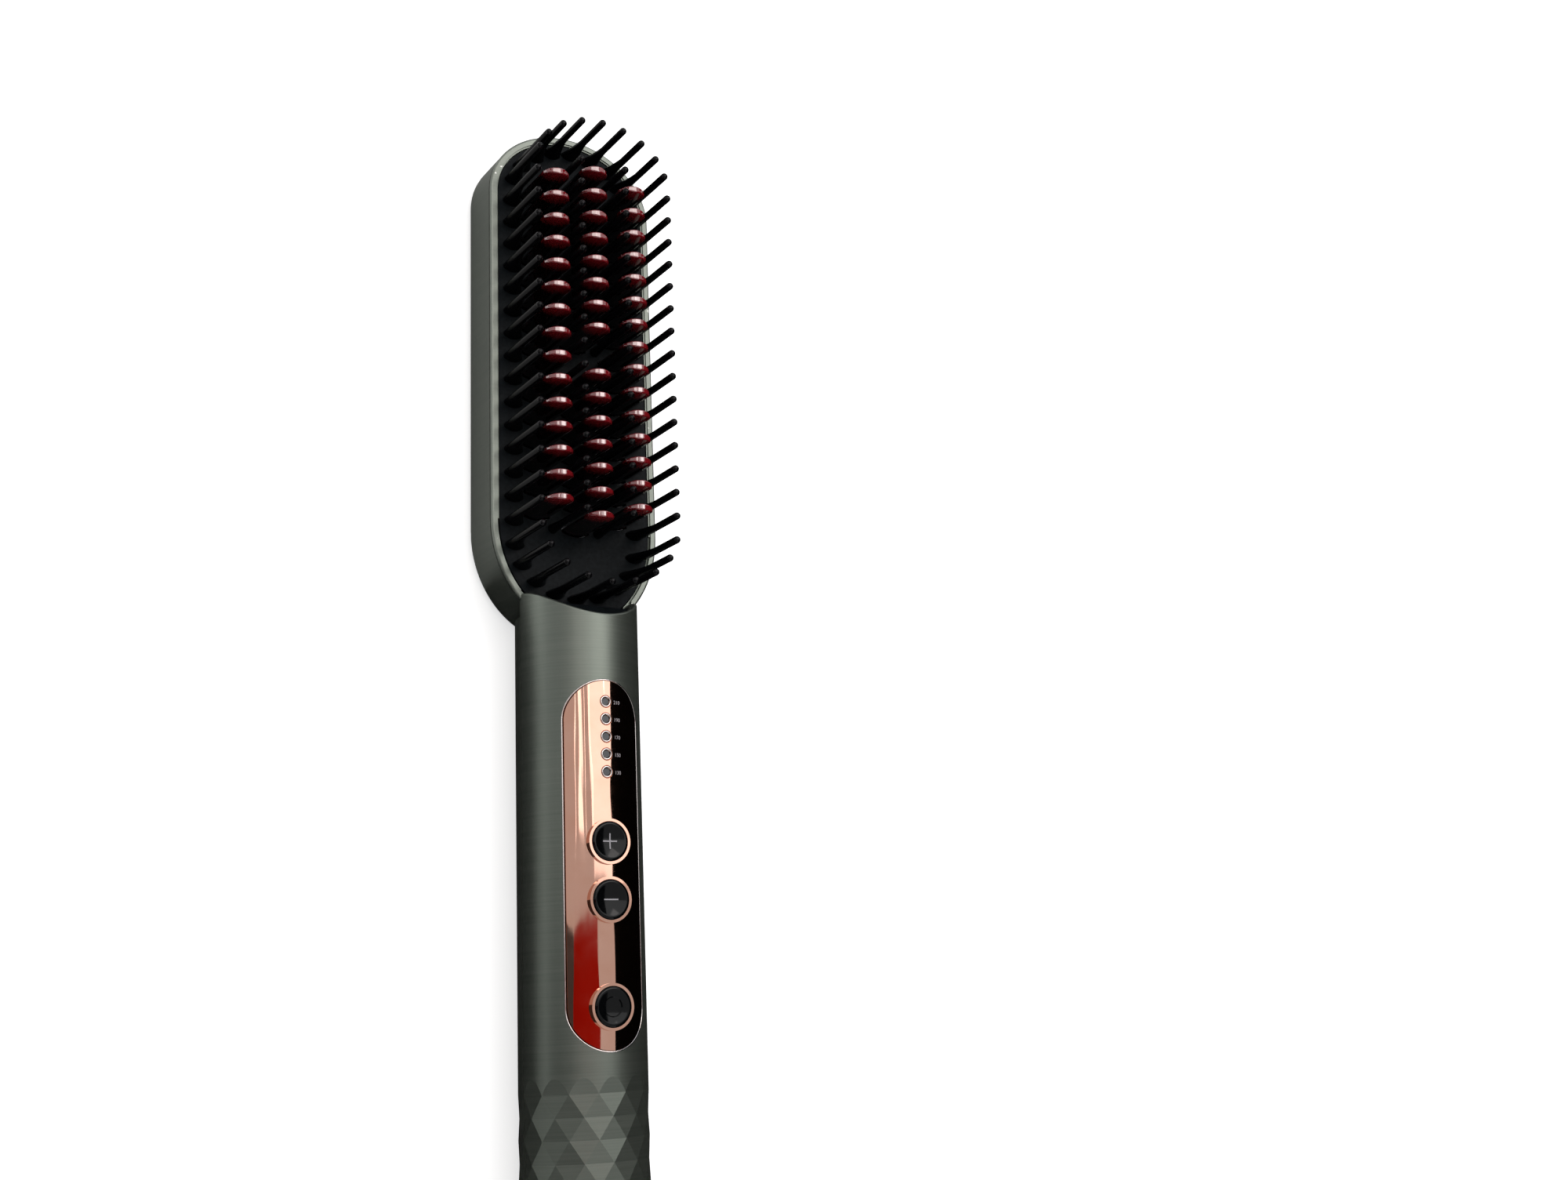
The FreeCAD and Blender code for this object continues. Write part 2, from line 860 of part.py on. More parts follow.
front_posts = overlap(
    "front_posts",
    post_reach,
    join(
        "front_post_rods",
        *spread(
            "board_post",
            post_places,
            lambda name, x, y: rod_up(name, size.post_radius, x, y, (board_top, axis + size.handle_radius)),
        ),
        *spread(
            "handle_post",
            handle_places,
            lambda name, x, y: rod_up(
                name,
                size.boss_radius,
                x,
                y,
                (size.boss_joint + size.joint_gap, axis + size.handle_radius),
            ),
        ),
    ),
)
front_housing = cut(
    "front_housing_cut",
    join("front_filled", front_opened, front_posts),
    end_hole("front_end_hole"),
    *spread(
        "board_pilot",
        post_places,
        lambda name, x, y: rod_up(
            name,
            size.board_screw_radius + size.thread_gap,
            x,
            y,
            (board_top - size.cut_overrun, board_top + size.board_screw_bite + size.screw_sink),
        ),
    ),
    *spread(
        "handle_pilot",
        handle_places,
        lambda name, x, y: rod_up(
            name, pilot_radius, x, y, (size.boss_joint - size.cut_overrun, screw_top + size.screw_sink)
        ),
    ),
)
node(front_housing, "front_housing")


def screw(name, x, y, low, head_radius, head, shank_radius, length):
    """A screw that points up from the underside of its head."""
    return join(
        name,
        rod_up(f"{name}_head", head_radius, x, y, (low, low + head)),
        rod_up(f"{name}_shank", shank_radius, x, y, (low + head / 2, low + head + length)),
    )


def screws(name, places, *sizes):
    pieces = spread(name, places, lambda label, x, y: screw(label, x, y, *sizes))
    return node(group(f"{name}_set", *pieces), name)


screws(
    "housing_screws",
    screw_places,
    size.screw_sink,
    size.screw_head_radius,
    size.screw_head,
    size.screw_radius,
    size.screw_length,
)


# Teeth and bristles
def lens_wire(length, thickness, end, level, centre=0):
    """A leaf-shaped outline with blunt ends, lying across the brush."""
    half, waist, tip = length / 2, thickness / 2, end / 2
    left, right = centre - half, centre + half
    lower = Part.Arc(vector(left, -tip, level), vector(centre, -waist, level), vector(right, -tip, level))
    upper = Part.Arc(vector(right, tip, level), vector(centre, waist, level), vector(left, tip, level))
    return Part.Wire(
        [
            lower.toShape(),
            Part.makeLine(vector(right, -tip, level), vector(right, tip, level)),
            upper.toShape(),
            Part.makeLine(vector(left, tip, level), vector(left, -tip, level)),
        ]
    )


def tooth_shape():
    """A flat tooth with an arched crest, standing on the heater plate."""
    top = size.comb_thickness + size.tooth_rise
    shoulder = top - size.tooth_shoulder
    half, wide, deep = size.tooth_length / 2, size.tooth_length, size.tooth_root
    blade = Part.makeLoft(
        [
            lens_wire(size.tooth_length, size.tooth_root, size.tooth_end, 0),
            lens_wire(size.tooth_length, size.tooth_crest, size.tooth_end, top),
        ],
        True,
        True,
    )
    arch = Part.Arc(vector(half, -deep, shoulder), vector(0, -deep, top), vector(-half, -deep, shoulder))
    left_side = ((-half, shoulder), (-wide, shoulder), (-wide, -deep))
    right_side = ((wide, -deep), (wide, shoulder), (half, shoulder))
    sides = Part.makePolygon([vector(x, -deep, z) for x, z in left_side + right_side])
    silhouette = Part.Face(Part.Wire(sides.Edges + [arch.toShape()]))
    tooth = blade.common(silhouette.extrude(vector(0, 2 * deep, 0)))
    crest = [edge for edge in tooth.Edges if edge.BoundBox.ZMin > float(shoulder - size.tooth_end)]
    return tooth.makeFillet(float(size.tooth_round), crest)


def tooth_places():
    """Three columns; the outer two are half a pitch behind the middle one, which skips a row."""
    rows = range(tooth_rows)
    middle = [(0, size.first_row + row * size.tooth_pitch) for row in rows if row != missing_middle_row]
    outer = [
        (side * size.tooth_column, size.first_row + (row + MID_SHARE) * size.tooth_pitch)
        for side in (-1, 1)
        for row in rows[:-1]
    ]
    return middle + outer


def copies(shape, places, level):
    return Part.makeCompound([moved(shape, x, along(distance), level) for x, distance in places])


node(form("heating_teeth_set", copies(tooth_shape(), tooth_places(), comb_under)), "heating_teeth")


def pin_shape(foot_radius):
    """A bristle with a round tip, a root below the base and a cone at its foot."""
    radius, top = size.pin_radius, size.bristle_rise
    lean = radius * math.sqrt(MID_SHARE)
    outline = (
        (0, -size.root_depth),
        (size.root_radius, -size.root_depth),
        (size.root_radius, 0),
        (foot_radius, 0),
        (radius, MID_SHARE * size.fin_rise),
        (radius, top - radius),
    )
    sides = Part.makePolygon([vector(x, 0, z) for x, z in outline])
    tip = Part.Arc(vector(radius, 0, top - radius), vector(lean, 0, top - radius + lean), vector(0, 0, top))
    core = Part.makeLine(vector(0, 0, top), vector(0, 0, -size.root_depth))
    section = Part.Face(Part.Wire(sides.Edges + [tip.toShape(), core]))
    return section.revolve(vector(0, 0, 0), vector(0, 0, 1), 360)


def fin_shape(lean):
    """A leaf-shaped foot that narrows upwards into its bristle; lean is how far its middle lies inwards."""
    neck = 2 * size.pin_radius
    levels = ((0, 1), (FIN_LEVEL_SHARE, FIN_WAIST_SHARE), (1, 0))
    sections = []
    for level, share in levels:
        length = share * size.fin_length + (1 - share) * neck * FIN_NECK_SHARE
        thickness = share * size.fin_thickness + (1 - share) * neck * FIN_NECK_SHARE
        sections.append(
            lens_wire(length, thickness, MID_SHARE * size.pin_radius, level * size.fin_rise, share * lean)
        )
    return Part.makeLoft(sections, True, False)


def ring_places():
    """The outer ring: two straight runs whose ends bend in, then each end in equal turns."""
    places = []
    rows = [size.first_row - size.ring_lead + row * size.tooth_pitch for row in range(ring_rows)]
    for distance in rows:
        past = max(float(size.head_end - distance), float(distance - ring_low_centre), 0)
        width = size.outer_column * math.sqrt(1 - (past / float(size.ring_end)) ** 2)
        places += [(-width, distance), (width, distance)]
    for centre, sign, nearest in ((size.head_end, -1, rows[0]), (ring_low_centre, 1, rows[-1])):
        first = math.asin(abs(float(nearest - centre)) / float(size.ring_end))
        for index in range(1, 2 * RING_END_STEPS):
            turn = first + index * (math.pi / 2 - first) / RING_END_STEPS
            distance = centre + sign * size.ring_end * math.sin(turn)
            places.append((size.outer_column * math.cos(turn), distance))
    return places


def inner_places():
    return [
        (side * size.inner_column, size.first_row + row * size.tooth_pitch)
        for side in (-1, 1)
        for row in range(tooth_rows)
    ]


def outer_bristle(x, distance):
    lean = x / size.outer_column * (size.pin_radius - size.fin_length / 2)
    return moved(plain_pin.fuse(fin_shape(lean)), x, along(distance), comb_top)


plain_pin = pin_shape(size.pin_radius)
node(
    form("outer_bristles_set", Part.makeCompound([outer_bristle(*spot) for spot in ring_places()])),
    "outer_bristles",
)
node(
    form("inner_bristles_set", copies(pin_shape(size.inner_foot_radius), inner_places(), comb_top)),
    "inner_bristles",
)

# Comb base with its sloped chin
chin_foot = head_stop - size.rim_width - size.chin_depth
chin_crown = head_stop - size.rim_width - size.chin_gap
chin_radius = handle_bore - size.chin_gap
chin_top = axis + chin_radius
chin_outline = (
    (chin_foot, comb_under),
    (chin_foot, comb_top),
    (chin_foot + size.chin_knee_back, axis + size.chin_knee_rise),
    (chin_crown, chin_top),
    (head_stop, chin_top),
    (head_stop, comb_under),
)
chin_section = polygon_face(*[vector(-chin_radius, along(distance), z) for distance, z in chin_outline])
comb_solid = join(
    "comb_solid",
    form("comb_plate", oval_prism(size.rim_width + size.comb_gap, comb_under, comb_top)),
    overlap(
        "comb_chin",
        form("chin_wedge", chin_section.extrude(vector(2 * chin_radius, 0, 0))),
        rod_along("chin_round", chin_radius, 0, span(chin_foot - size.cut_overrun, head_stop), axis),
    ),
    *spread(
        "comb_boss",
        boss_places,
        lambda name, x, y: rod_up(
            name, size.boss_radius, x, y, (size.boss_joint + size.joint_gap, comb_under)
        ),
    ),
)
slot = Part.Face(
    lens_wire(
        size.tooth_length + 2 * size.slot_gap,
        size.tooth_root + 2 * size.slot_gap,
        size.tooth_end + 2 * size.slot_gap,
        -size.cut_overrun,
    )
).extrude(vector(0, 0, size.comb_thickness + 2 * size.cut_overrun))
socket = Part.makeCylinder(
    float(size.root_radius + size.root_gap),
    float(size.root_depth + size.root_gap + size.cut_overrun),
    vector(0, 0, -size.root_depth - size.root_gap),
)
clamp_inner = size.ceramic_width / 2 + size.clamp_side_gap
clamp_screw_x = clamp_inner + size.clamp_sheet + size.clamp_flange / 2
clamp_places = [
    (side * clamp_screw_x, along(heater_middle + end * clamp_pitches * size.tooth_pitch / 2))
    for end in (-1, 1)
    for side in (-1, 1)
]
comb_base = cut(
    "comb_base_cut",
    comb_solid,
    form("tooth_slots", copies(slot, tooth_places(), comb_under)),
    form("bristle_sockets", copies(socket, ring_places() + inner_places(), comb_top)),
    *spread(
        "comb_pilot",
        boss_places,
        lambda name, x, y: rod_up(
            name, pilot_radius, x, y, (size.boss_joint - size.cut_overrun, screw_top + size.screw_sink)
        ),
    ),
    *spread(
        "clamp_pilot",
        clamp_places,
        lambda name, x, y: rod_up(
            name,
            size.clamp_screw_radius + size.thread_gap,
            x,
            y,
            (comb_under - size.cut_overrun, comb_under + size.clamp_screw_bite),
        ),
    ),
)
node(comb_base, "comb_base")

# Heating group
node(
    cut(
        "heater_plate_cut",
        box(
            "heater_plate_block",
            (-size.plate_half_width, size.plate_half_width),
            span(plate_start, plate_stop),
            (plate_under, comb_under),
        ),
        *spread(
            "plate_hole",
            clamp_places,
            lambda name, x, y: rod_up(
                name,
                size.clamp_screw_radius + size.screw_clearance,
                x,
                y,
                (plate_under - size.cut_overrun, comb_under + size.cut_overrun),
            ),
        ),
    ),
    "heater_plate",
)
node(
    box(
        "ceramic_bar",
        (-size.ceramic_width / 2, size.ceramic_width / 2),
        span(ceramic_start, ceramic_stop),
        (ceramic_under, plate_under),
    ),
    "ceramic_heater",
)
sheet_edge = size.clamp_flange
wall_edge = sheet_edge + size.clamp_sheet
far_wall_edge = wall_edge + 2 * clamp_inner
far_sheet_edge = far_wall_edge + size.clamp_sheet
clamp_width = far_sheet_edge + size.clamp_flange
clamp_height = size.ceramic_thickness + size.clamp_sheet
clamp_body = pressed(
    "clamp_strip",
    (
        (0, size.ceramic_thickness),
        (sheet_edge, size.ceramic_thickness),
        (sheet_edge, 0),
        (far_sheet_edge, 0),
        (far_sheet_edge, size.ceramic_thickness),
        (clamp_width, size.ceramic_thickness),
        (clamp_width, clamp_height),
        (far_wall_edge, clamp_height),
        (far_wall_edge, size.clamp_sheet),
        (wall_edge, size.clamp_sheet),
        (wall_edge, clamp_height),
        (0, clamp_height),
    ),
    clamp_stop - clamp_start,
)
place(clamp_body, -clamp_width / 2, along(clamp_start), ceramic_under - size.clamp_sheet)
node(
    cut(
        "heater_clamp_cut",
        clamp_body,
        *spread(
            "clamp_hole",
            clamp_places,
            lambda name, x, y: rod_up(
                name,
                size.clamp_screw_radius + size.screw_clearance,
                x,
                y,
                (ceramic_under - size.cut_overrun, comb_under),
            ),
        ),
    ),
    "heater_clamp",
)
screws(
    "heater_screws",
    clamp_places,
    plate_under - size.clamp_sheet - size.clamp_head,
    size.clamp_head_radius,
    size.clamp_head,
    size.clamp_screw_radius,
    size.clamp_sheet + size.plate_thickness + size.clamp_screw_bite - size.thread_gap,
)
node(
    box(
        "mica_sheet",
        (-size.mica_half_width, size.mica_half_width),
        span(plate_start, plate_stop),
        (mica_under, mica_under + size.mica_thickness),
    ),
    "mica_shield",
)
sensor_stop = plate_stop - size.side_part_margin
node(
    box(
        "sensor_bead",
        (size.side_part_offset - size.sensor_width / 2, size.side_part_offset + size.sensor_width / 2),
        span(sensor_stop - size.sensor_length, sensor_stop),
        (plate_under - size.sensor_thickness, plate_under),
    ),
    "thermistor",
)
fuse_start = clamp_stop + size.fuse_gap
fuse_stop = fuse_start + size.fuse_length
node(
    rod_along(
        "fuse_barrel",
        size.fuse_radius,
        -size.side_part_offset,
        span(fuse_start, fuse_stop),
        plate_under - size.fuse_radius,
    ),
    "thermal_fuse",
)

# Control panel
collar_radius = size.button_radius + size.button_gap + size.collar_wall
collar_top = axis + panel_radius + size.collar_rise
collar_under = axis + panel_radius - size.collar_depth
button_places = [(as_size(0), along(distance)) for distance in (plus_place, minus_place, power_place)]
light_places = [(as_size(0), along(light_start + index * size.light_pitch)) for index in range(LIGHTS)]
dish_low = axis + panel_radius - size.lens_dish_depth


def dish(name, x, y):
    cone = doc.addObject("Part::Cone", name)
    cone.setExpression("Radius1", (size.lens_radius + size.lens_gap).text)
    cone.setExpression("Radius2", size.lens_dish_radius.text)
    cone.setExpression("Height", size.lens_dish_depth.text)
    return place(cone, x, y, dish_low)


panel_skin = overlap(
    "panel_skin",
    stadium("panel_outline", as_size(0), panel_heights),
    cut(
        "panel_tube",
        rod_along("panel_outer", panel_radius, 0, handle_run, axis),
        rod_along("panel_inner", panel_inner_radius, 0, handle_run, axis),
    ),
)
node(
    cut(
        "control_panel_cut",
        join(
            "panel_with_collars",
            panel_skin,
            *spread(
                "collar",
                button_places,
                lambda name, x, y: rod_up(name, collar_radius, x, y, (collar_under, collar_top)),
            ),
        ),
        *spread(
            "button_hole",
            button_places,
            lambda name, x, y: rod_up(
                name,
                size.button_radius + size.button_gap,
                x,
                y,
                (collar_under - size.cut_overrun, collar_top + size.cut_overrun),
            ),
        ),
        *spread(
            "lens_hole",
            light_places,
            lambda name, x, y: rod_up(
                name, size.lens_radius + size.lens_gap, x, y, (collar_under, collar_top + size.cut_overrun)
            ),
        ),
        *spread("lens_dish", light_places, dish),
    ),
    "control_panel",
)
guide_half = size.guide_bar_width / 2
guide_top = axis + root(panel_inner_radius * panel_inner_radius - guide_half * guide_half) - size.joint_gap
guide_low = board_top + size.led_height + size.led_gap
light_stop = light_start + (LIGHTS - 1) * size.light_pitch
node(
    join(
        "light_guide_solid",
        box(
            "light_guide_bar",
            (-guide_half, guide_half),
            span(light_start - size.guide_bar_margin, light_stop + size.guide_bar_margin),
            (guide_top - size.guide_bar_thickness, guide_top),
        ),
        *spread(
            "light_pin",
            light_places,
            lambda name, x, y: rod_up(
                name, size.lens_radius, x, y, (guide_low, dish_low + MID_SHARE * size.lens_dish_depth)
            ),
        ),
    ),
    "light_guide",
)

# Buttons and their switches
flange_top = collar_under - size.joint_gap - plunger_top
flange_low = flange_top - size.button_flange_thickness
flange_radius = size.button_radius + size.button_flange
cap_top = axis + panel_radius + size.button_rise - plunger_top
button_outline = (
    (0, 0),
    (size.plunger_radius, 0),
    (size.plunger_radius, flange_low),
    (flange_radius, flange_low),
    (flange_radius, flange_top),
    (size.button_radius, flange_top),
    (size.button_radius, cap_top - size.button_edge),
    (size.button_radius - EDGE_SHARE * size.button_edge, cap_top - EDGE_SHARE * size.button_edge),
    (size.button_radius - size.button_edge, cap_top),
    (MID_SHARE * size.button_radius, cap_top - DISH_SHARE * size.button_dish),
    (0, cap_top - size.button_dish),
)
plunger_low = board_top + MID_SHARE * size.switch_height
for label, (x, y) in zip(("plus", "minus", "power"), button_places):
    node(place(turned(f"{label}_cap", button_outline), x, y, plunger_top), f"{label}_button")
    node(rod_up(f"{label}_pin", size.plunger_radius, x, y, (plunger_low, plunger_top)), f"{label}_plunger")


def switch(name, x, y):
    half = size.switch_side / 2
    bore_low = plunger_low - size.button_travel - size.plunger_gap
    heights = (board_top, board_top + size.switch_height)
    return cut(
        name,
        box(f"{name}_body", (x - half, x + half), (y - half, y + half), heights),
        rod_up(f"{name}_bore", size.plunger_radius + size.plunger_gap, x, y, (bore_low, plunger_top)),
    )


node(group("tact_switches_set", *spread("switch", button_places, switch)), "tact_switches")

# Circuit board and its parts
node(
    cut(
        "circuit_board_cut",
        box(
            "circuit_board_blank",
            (-board_half, board_half),
            span(board_start, board_stop),
            (board_under, board_top),
        ),
        *spread(
            "board_hole",
            post_places,
            lambda name, x, y: rod_up(
                name,
                size.board_screw_radius + size.screw_clearance,
                x,
                y,
                (board_under - size.cut_overrun, board_top + size.cut_overrun),
            ),
        ),
    ),
    "circuit_board",
)
screws(
    "board_screws",
    post_places,
    board_under - size.board_head,
    size.board_head_radius,
    size.board_head,
    size.board_screw_radius,
    size.board_thickness + size.board_screw_bite,
)


def light(name, x, y):
    half_width, half_length = size.led_width / 2, size.led_length / 2
    return box(
        name,
        (x - half_width, x + half_width),
        (y - half_length, y + half_length),
        (board_top, board_top + size.led_height),
    )


node(group("indicator_leds_set", *spread("led", light_places, light)), "indicator_leds")


def board_part(name, width, start, length, height):
    node(box(f"{name}_block", (-width / 2, width / 2), span(start, start + length), height), name)


board_part(
    "controller_chip",
    size.chip_width,
    (minus_place + power_place - size.chip_length) / 2,
    size.chip_length,
    (board_top, board_top + size.chip_height),
)
board_part(
    "triac",
    size.triac_width,
    board_start + size.triac_lead,
    size.triac_length,
    (board_under - size.triac_height, board_under),
)
board_part(
    "suppression_capacitor",
    size.capacitor_width,
    board_start + size.capacitor_lead,
    size.capacitor_length,
    (board_under - size.capacitor_height, board_under),
)

# Cord swivel
ALONG_BRUSH = FreeCAD.Rotation(FreeCAD.Vector(1, 0, 0), 90)


def turned_along(name, points, distance):
    """A turned body whose axis runs down the handle from a distance from the tip."""
    body = turned(name, points)
    body.Placement.Rotation = ALONG_BRUSH
    return place(body, 0, along(distance), axis)


bush_length = size.bush_flange_thickness + size.end_wall
node(
    turned_along(
        "bush_sleeve",
        (
            (bush_bore, 0),
            (bush_radius + size.bush_flange, 0),
            (bush_radius + size.bush_flange, size.bush_flange_thickness),
            (bush_radius, size.bush_flange_thickness),
            (bush_radius, bush_length),
            (bush_bore, bush_length),
        ),
        bush_start,
    ),
    "swivel_bush",
)
collar_end = size.gland_tail + size.gland_collar
nose_start = collar_end + size.gland_play + bush_length + size.gland_play
gland_length = nose_start + size.gland_out - size.gland_play
node(
    turned_along(
        "gland_turning",
        (
            (size.cord_bore_radius, 0),
            (size.gland_neck_radius, 0),
            (size.gland_neck_radius, size.gland_tail),
            (size.gland_collar_radius, size.gland_tail),
            (size.gland_collar_radius, collar_end),
            (size.gland_neck_radius, collar_end),
            (size.gland_neck_radius, nose_start),
            (size.gland_nose_radius, nose_start),
            (size.gland_tip_radius, gland_length),
            (size.cord_bore_radius, gland_length),
        ),
        gland_start,
    ),
    "swivel_gland",
)
ring_starts = (
    gland_start + size.slip_ring_lead,
    gland_start + size.slip_ring_lead + size.slip_ring_step,
)
ring_bore = size.gland_neck_radius + size.joint_gap
slip_radius = ring_bore + size.slip_ring_wall
contact_top = axis - slip_radius - size.contact_gap
contact_low = contact_top - size.contact_height


def slip_ring(number, start):
    run = span(start, start + size.slip_ring_width)
    reach = span(start - size.cut_overrun, start + size.slip_ring_width + size.cut_overrun)
    return cut(
        f"slip_ring_{number}",
        rod_along(f"slip_ring_rim_{number}", slip_radius, 0, run, axis),
        rod_along(f"slip_ring_bore_{number}", ring_bore, 0, reach, axis),
    )


def contact(number, start):
    return box(
        f"contact_{number}",
        (-size.contact_half_width, size.contact_half_width),
        span(start, start + size.slip_ring_width),
        (contact_low, contact_top),
    )


node(group("slip_rings_set", *[slip_ring(*item) for item in enumerate(ring_starts, start=1)]), "slip_rings")
node(group("contact_pads_set", *[contact(*item) for item in enumerate(ring_starts, start=1)]), "contact_pads")
holder_half = size.holder_half_width
holder_start = ring_starts[0] - size.holder_margin
holder_low = axis - root(handle_bore * handle_bore - holder_half * holder_half) + size.joint_gap
node(
    box(
        "contact_block",
        (-holder_half, holder_half),
        span(holder_start, ring_starts[1] + size.slip_ring_width + size.holder_margin),
        (holder_low, contact_low),
    ),
    "contact_holder",
)


# Leads
def lead_shape(label, radius, points):
    """A round wire along straight runs joined by tangent arcs."""
    corners = [vector(x, along(distance), z) for x, distance, z in points]
    runs = [(end - start).Length for start, end in zip(corners, corners[1:])]
    ways = [(end - start).normalize() for start, end in zip(corners, corners[1:])]
    edges = []
    here = corners[0]
    radii = []
    for index, corner in enumerate(corners[1:-1]):
        half_turn = ways[index].getAngle(ways[index + 1]) / 2
        reach = LEAD_TURN_SHARE * min(runs[index], runs[index + 1])
        bend = reach / math.tan(half_turn)
        towards = (ways[index + 1] - ways[index]).normalize()
        start, end = corner - ways[index] * reach, corner + ways[index + 1] * reach
        middle = corner + towards * (bend / math.cos(half_turn) - bend)
        edges += [Part.makeLine(here, start), Part.Arc(start, middle, end).toShape()]
        here = end
        radii.append(round(bend, 1))
    edges.append(Part.makeLine(here, corners[-1]))
    path = Part.Wire(edges)
    section = Part.Wire([Part.makeCircle(float(radius), corners[0], ways[0])])
    wire = path.makePipeShell([section], True, False)
    filled = wire.Volume / (math.pi * float(radius) ** 2 * path.Length)
    print(label, "bend radii", radii, "length", round(path.Length, 1), "volume share", round(filled, 4))
    return wire


def lead_route(start, end, level, approach, leave):
    """From a start to the board: straight on, then over to the end's column, then up."""
    (x0, s0, z0), (x1, s1, z1) = start, end
    middle = z0 + level * (z1 - z0)
    return (
        start,
        (x0, s0 + approach * (s1 - s0), z0),
        (x1, s0 + leave * (s1 - s0), middle),
        (x1, s1, middle),
        end,
    )


ceramic_middle = plate_under - size.ceramic_thickness / 2
link_place = clamp_stop + LINK_SHARE * (ceramic_stop - clamp_stop)
lead_end = board_start + size.lead_end_inset
heater_routes = {
    "heater lead": lead_route(
        (size.ceramic_width / 2 - size.link_inset, ceramic_stop, ceramic_middle),
        (size.lead_column, lead_end, board_under),
        *HEATER_LEAD_SHARES,
    ),
    "fuse lead": lead_route(
        (-size.side_part_offset, fuse_stop, plate_under - size.fuse_radius),
        (-size.lead_column, lead_end, board_under),
        *HEATER_LEAD_SHARES,
    ),
    "fuse link": (
        (-size.ceramic_width / 2, link_place, ceramic_middle),
        (-size.side_part_offset, link_place, ceramic_middle),
        (-size.side_part_offset, fuse_start, ceramic_middle),
    ),
}
sensor_start = (sensor_stop, plate_under - size.sensor_thickness / 2)
sensor_routes = {
    f"sensor lead {number}": lead_route(
        (size.side_part_offset + side * size.sensor_lead_step / 2, *sensor_start),
        (size.sensor_end_column + side * size.sensor_lead_step / 2, lead_end, board_under),
        *HEATER_LEAD_SHARES,
    )
    for number, side in enumerate((-1, 1), start=1)
}
mains_routes = {
    f"mains lead {number}": lead_route(
        (side * size.mains_start_x, holder_start, (holder_low + contact_low) / 2),
        (side * size.mains_column, board_stop - size.mains_end_inset, board_under),
        *MAINS_LEAD_SHARES,
    )
    for number, side in enumerate((-1, 1), start=1)
}
for name, radius, routes in (
    ("heater_leads", size.heater_lead_radius, heater_routes),
    ("sensor_leads", size.sensor_lead_radius, sensor_routes),
    ("mains_leads", size.mains_lead_radius, mains_routes),
):
    wires = [lead_shape(label, radius, points) for label, points in routes.items()]
    node(form(f"{name}_set", Part.makeCompound(wires)), name)

# Checks and export
doc.recompute()
faults = [item.Label for item in doc.Objects if {"Invalid", "Error"} & set(item.State)]
faults += [item.Label for item in NODES if item.Shape.isNull() or not item.Shape.isValid()]
if faults:
    raise RuntimeError(f"faulty pieces: {faults}")
os.makedirs("parts", exist_ok=True)
for item in NODES:
    print(item.Label, "solids", len(item.Shape.Solids), "volume", round(item.Shape.Volume, 1))
    item.Shape.exportStep(f"parts/{item.Label}.step")
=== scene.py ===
import json
import math

import bmesh
import bpy
from mathutils import Matrix, Vector


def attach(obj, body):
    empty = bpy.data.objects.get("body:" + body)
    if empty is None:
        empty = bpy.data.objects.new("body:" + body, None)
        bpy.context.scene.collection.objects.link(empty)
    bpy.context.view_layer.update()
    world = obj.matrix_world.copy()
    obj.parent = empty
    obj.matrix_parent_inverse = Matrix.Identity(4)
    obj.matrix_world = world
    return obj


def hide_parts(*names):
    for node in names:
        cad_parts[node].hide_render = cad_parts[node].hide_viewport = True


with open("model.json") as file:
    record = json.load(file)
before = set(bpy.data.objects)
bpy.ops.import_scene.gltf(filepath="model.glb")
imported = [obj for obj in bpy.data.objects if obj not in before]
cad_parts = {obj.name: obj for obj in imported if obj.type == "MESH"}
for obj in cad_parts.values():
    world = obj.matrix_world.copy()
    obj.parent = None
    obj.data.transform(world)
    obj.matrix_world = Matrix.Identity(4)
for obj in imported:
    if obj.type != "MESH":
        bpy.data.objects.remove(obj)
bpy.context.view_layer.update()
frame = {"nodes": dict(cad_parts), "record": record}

MM = 0.001

# Places on the brush, in millimetres
AXIS_HEIGHT = 14.2
PANEL_RADIUS = 14.35
RIM_TOP = 15.0
# Heights between which the teeth go from near black to full maroon: painted shade towards the roots
TOOTH_PAINTED_SHADE_BELOW = 25.6
TOOTH_UNSHADED_ABOVE = 30.3
PANEL_ENDS = (-0.6, -80.9)
PANEL_HALF_WIDTH = 8.9
BEAD_MARGIN = 0.27
BEAD_ROUND = 0.17
BEAD_RADIUS = 14.1
BEAD_STEPS = 32
LIGHT_ROWS = (-5.3, -9.26, -13.22, -17.18, -21.14)
RING_RADIUS = 1.12
RING_ROUND = 0.17
RING_HEIGHT = 28.52
NUMBER_SIZE = 1.15
NUMBER_PLACE = 2.0
NUMBER_DROP = 0.15
INK_HALF = 0.012
KEY_ROWS = {"plus": -36.56, "minus": -49.17, "power": -71.87}
CAP_TOP = 29.6
CAP_RADIUS = 4.3
CAP_EDGE = 0.55
CAP_DISH = 0.34
FLANGE_TOP = 24.3
FLANGE_RADIUS = 4.85
FLANGE_THICKNESS = 0.8
STEM_RADIUS = 1.6
STEM_LOW = 23.1
POWER_STEP_RADIUS = 2.2
POWER_STEP_DROP = 0.22
POWER_STEP_RUN = 0.25
MARK_LENGTH = 3.4
MARK_WIDTH = 0.3
MARK_LIFT = 0.02
MARK_THICKNESS = 0.03
SCREW_PLACES = ((8.0, 131.5), (-8.0, 131.5), (14.0, 29.3), (-14.0, 29.3), (0.0, 10.1), (0.0, -96.9))
SCREW_LOW = 0.4
SCREW_HEAD = 1.8
SCREW_HEAD_RADIUS = 2.4
SCREW_CHAMFER = 0.3
SCREW_RADIUS = 1.3
SCREW_TOP = 11.4
RECESS_HALF = 0.28
RECESS_ARM = 1.25
RECESS_DEPTH = 0.9
RECESS_TAPER = 0.7

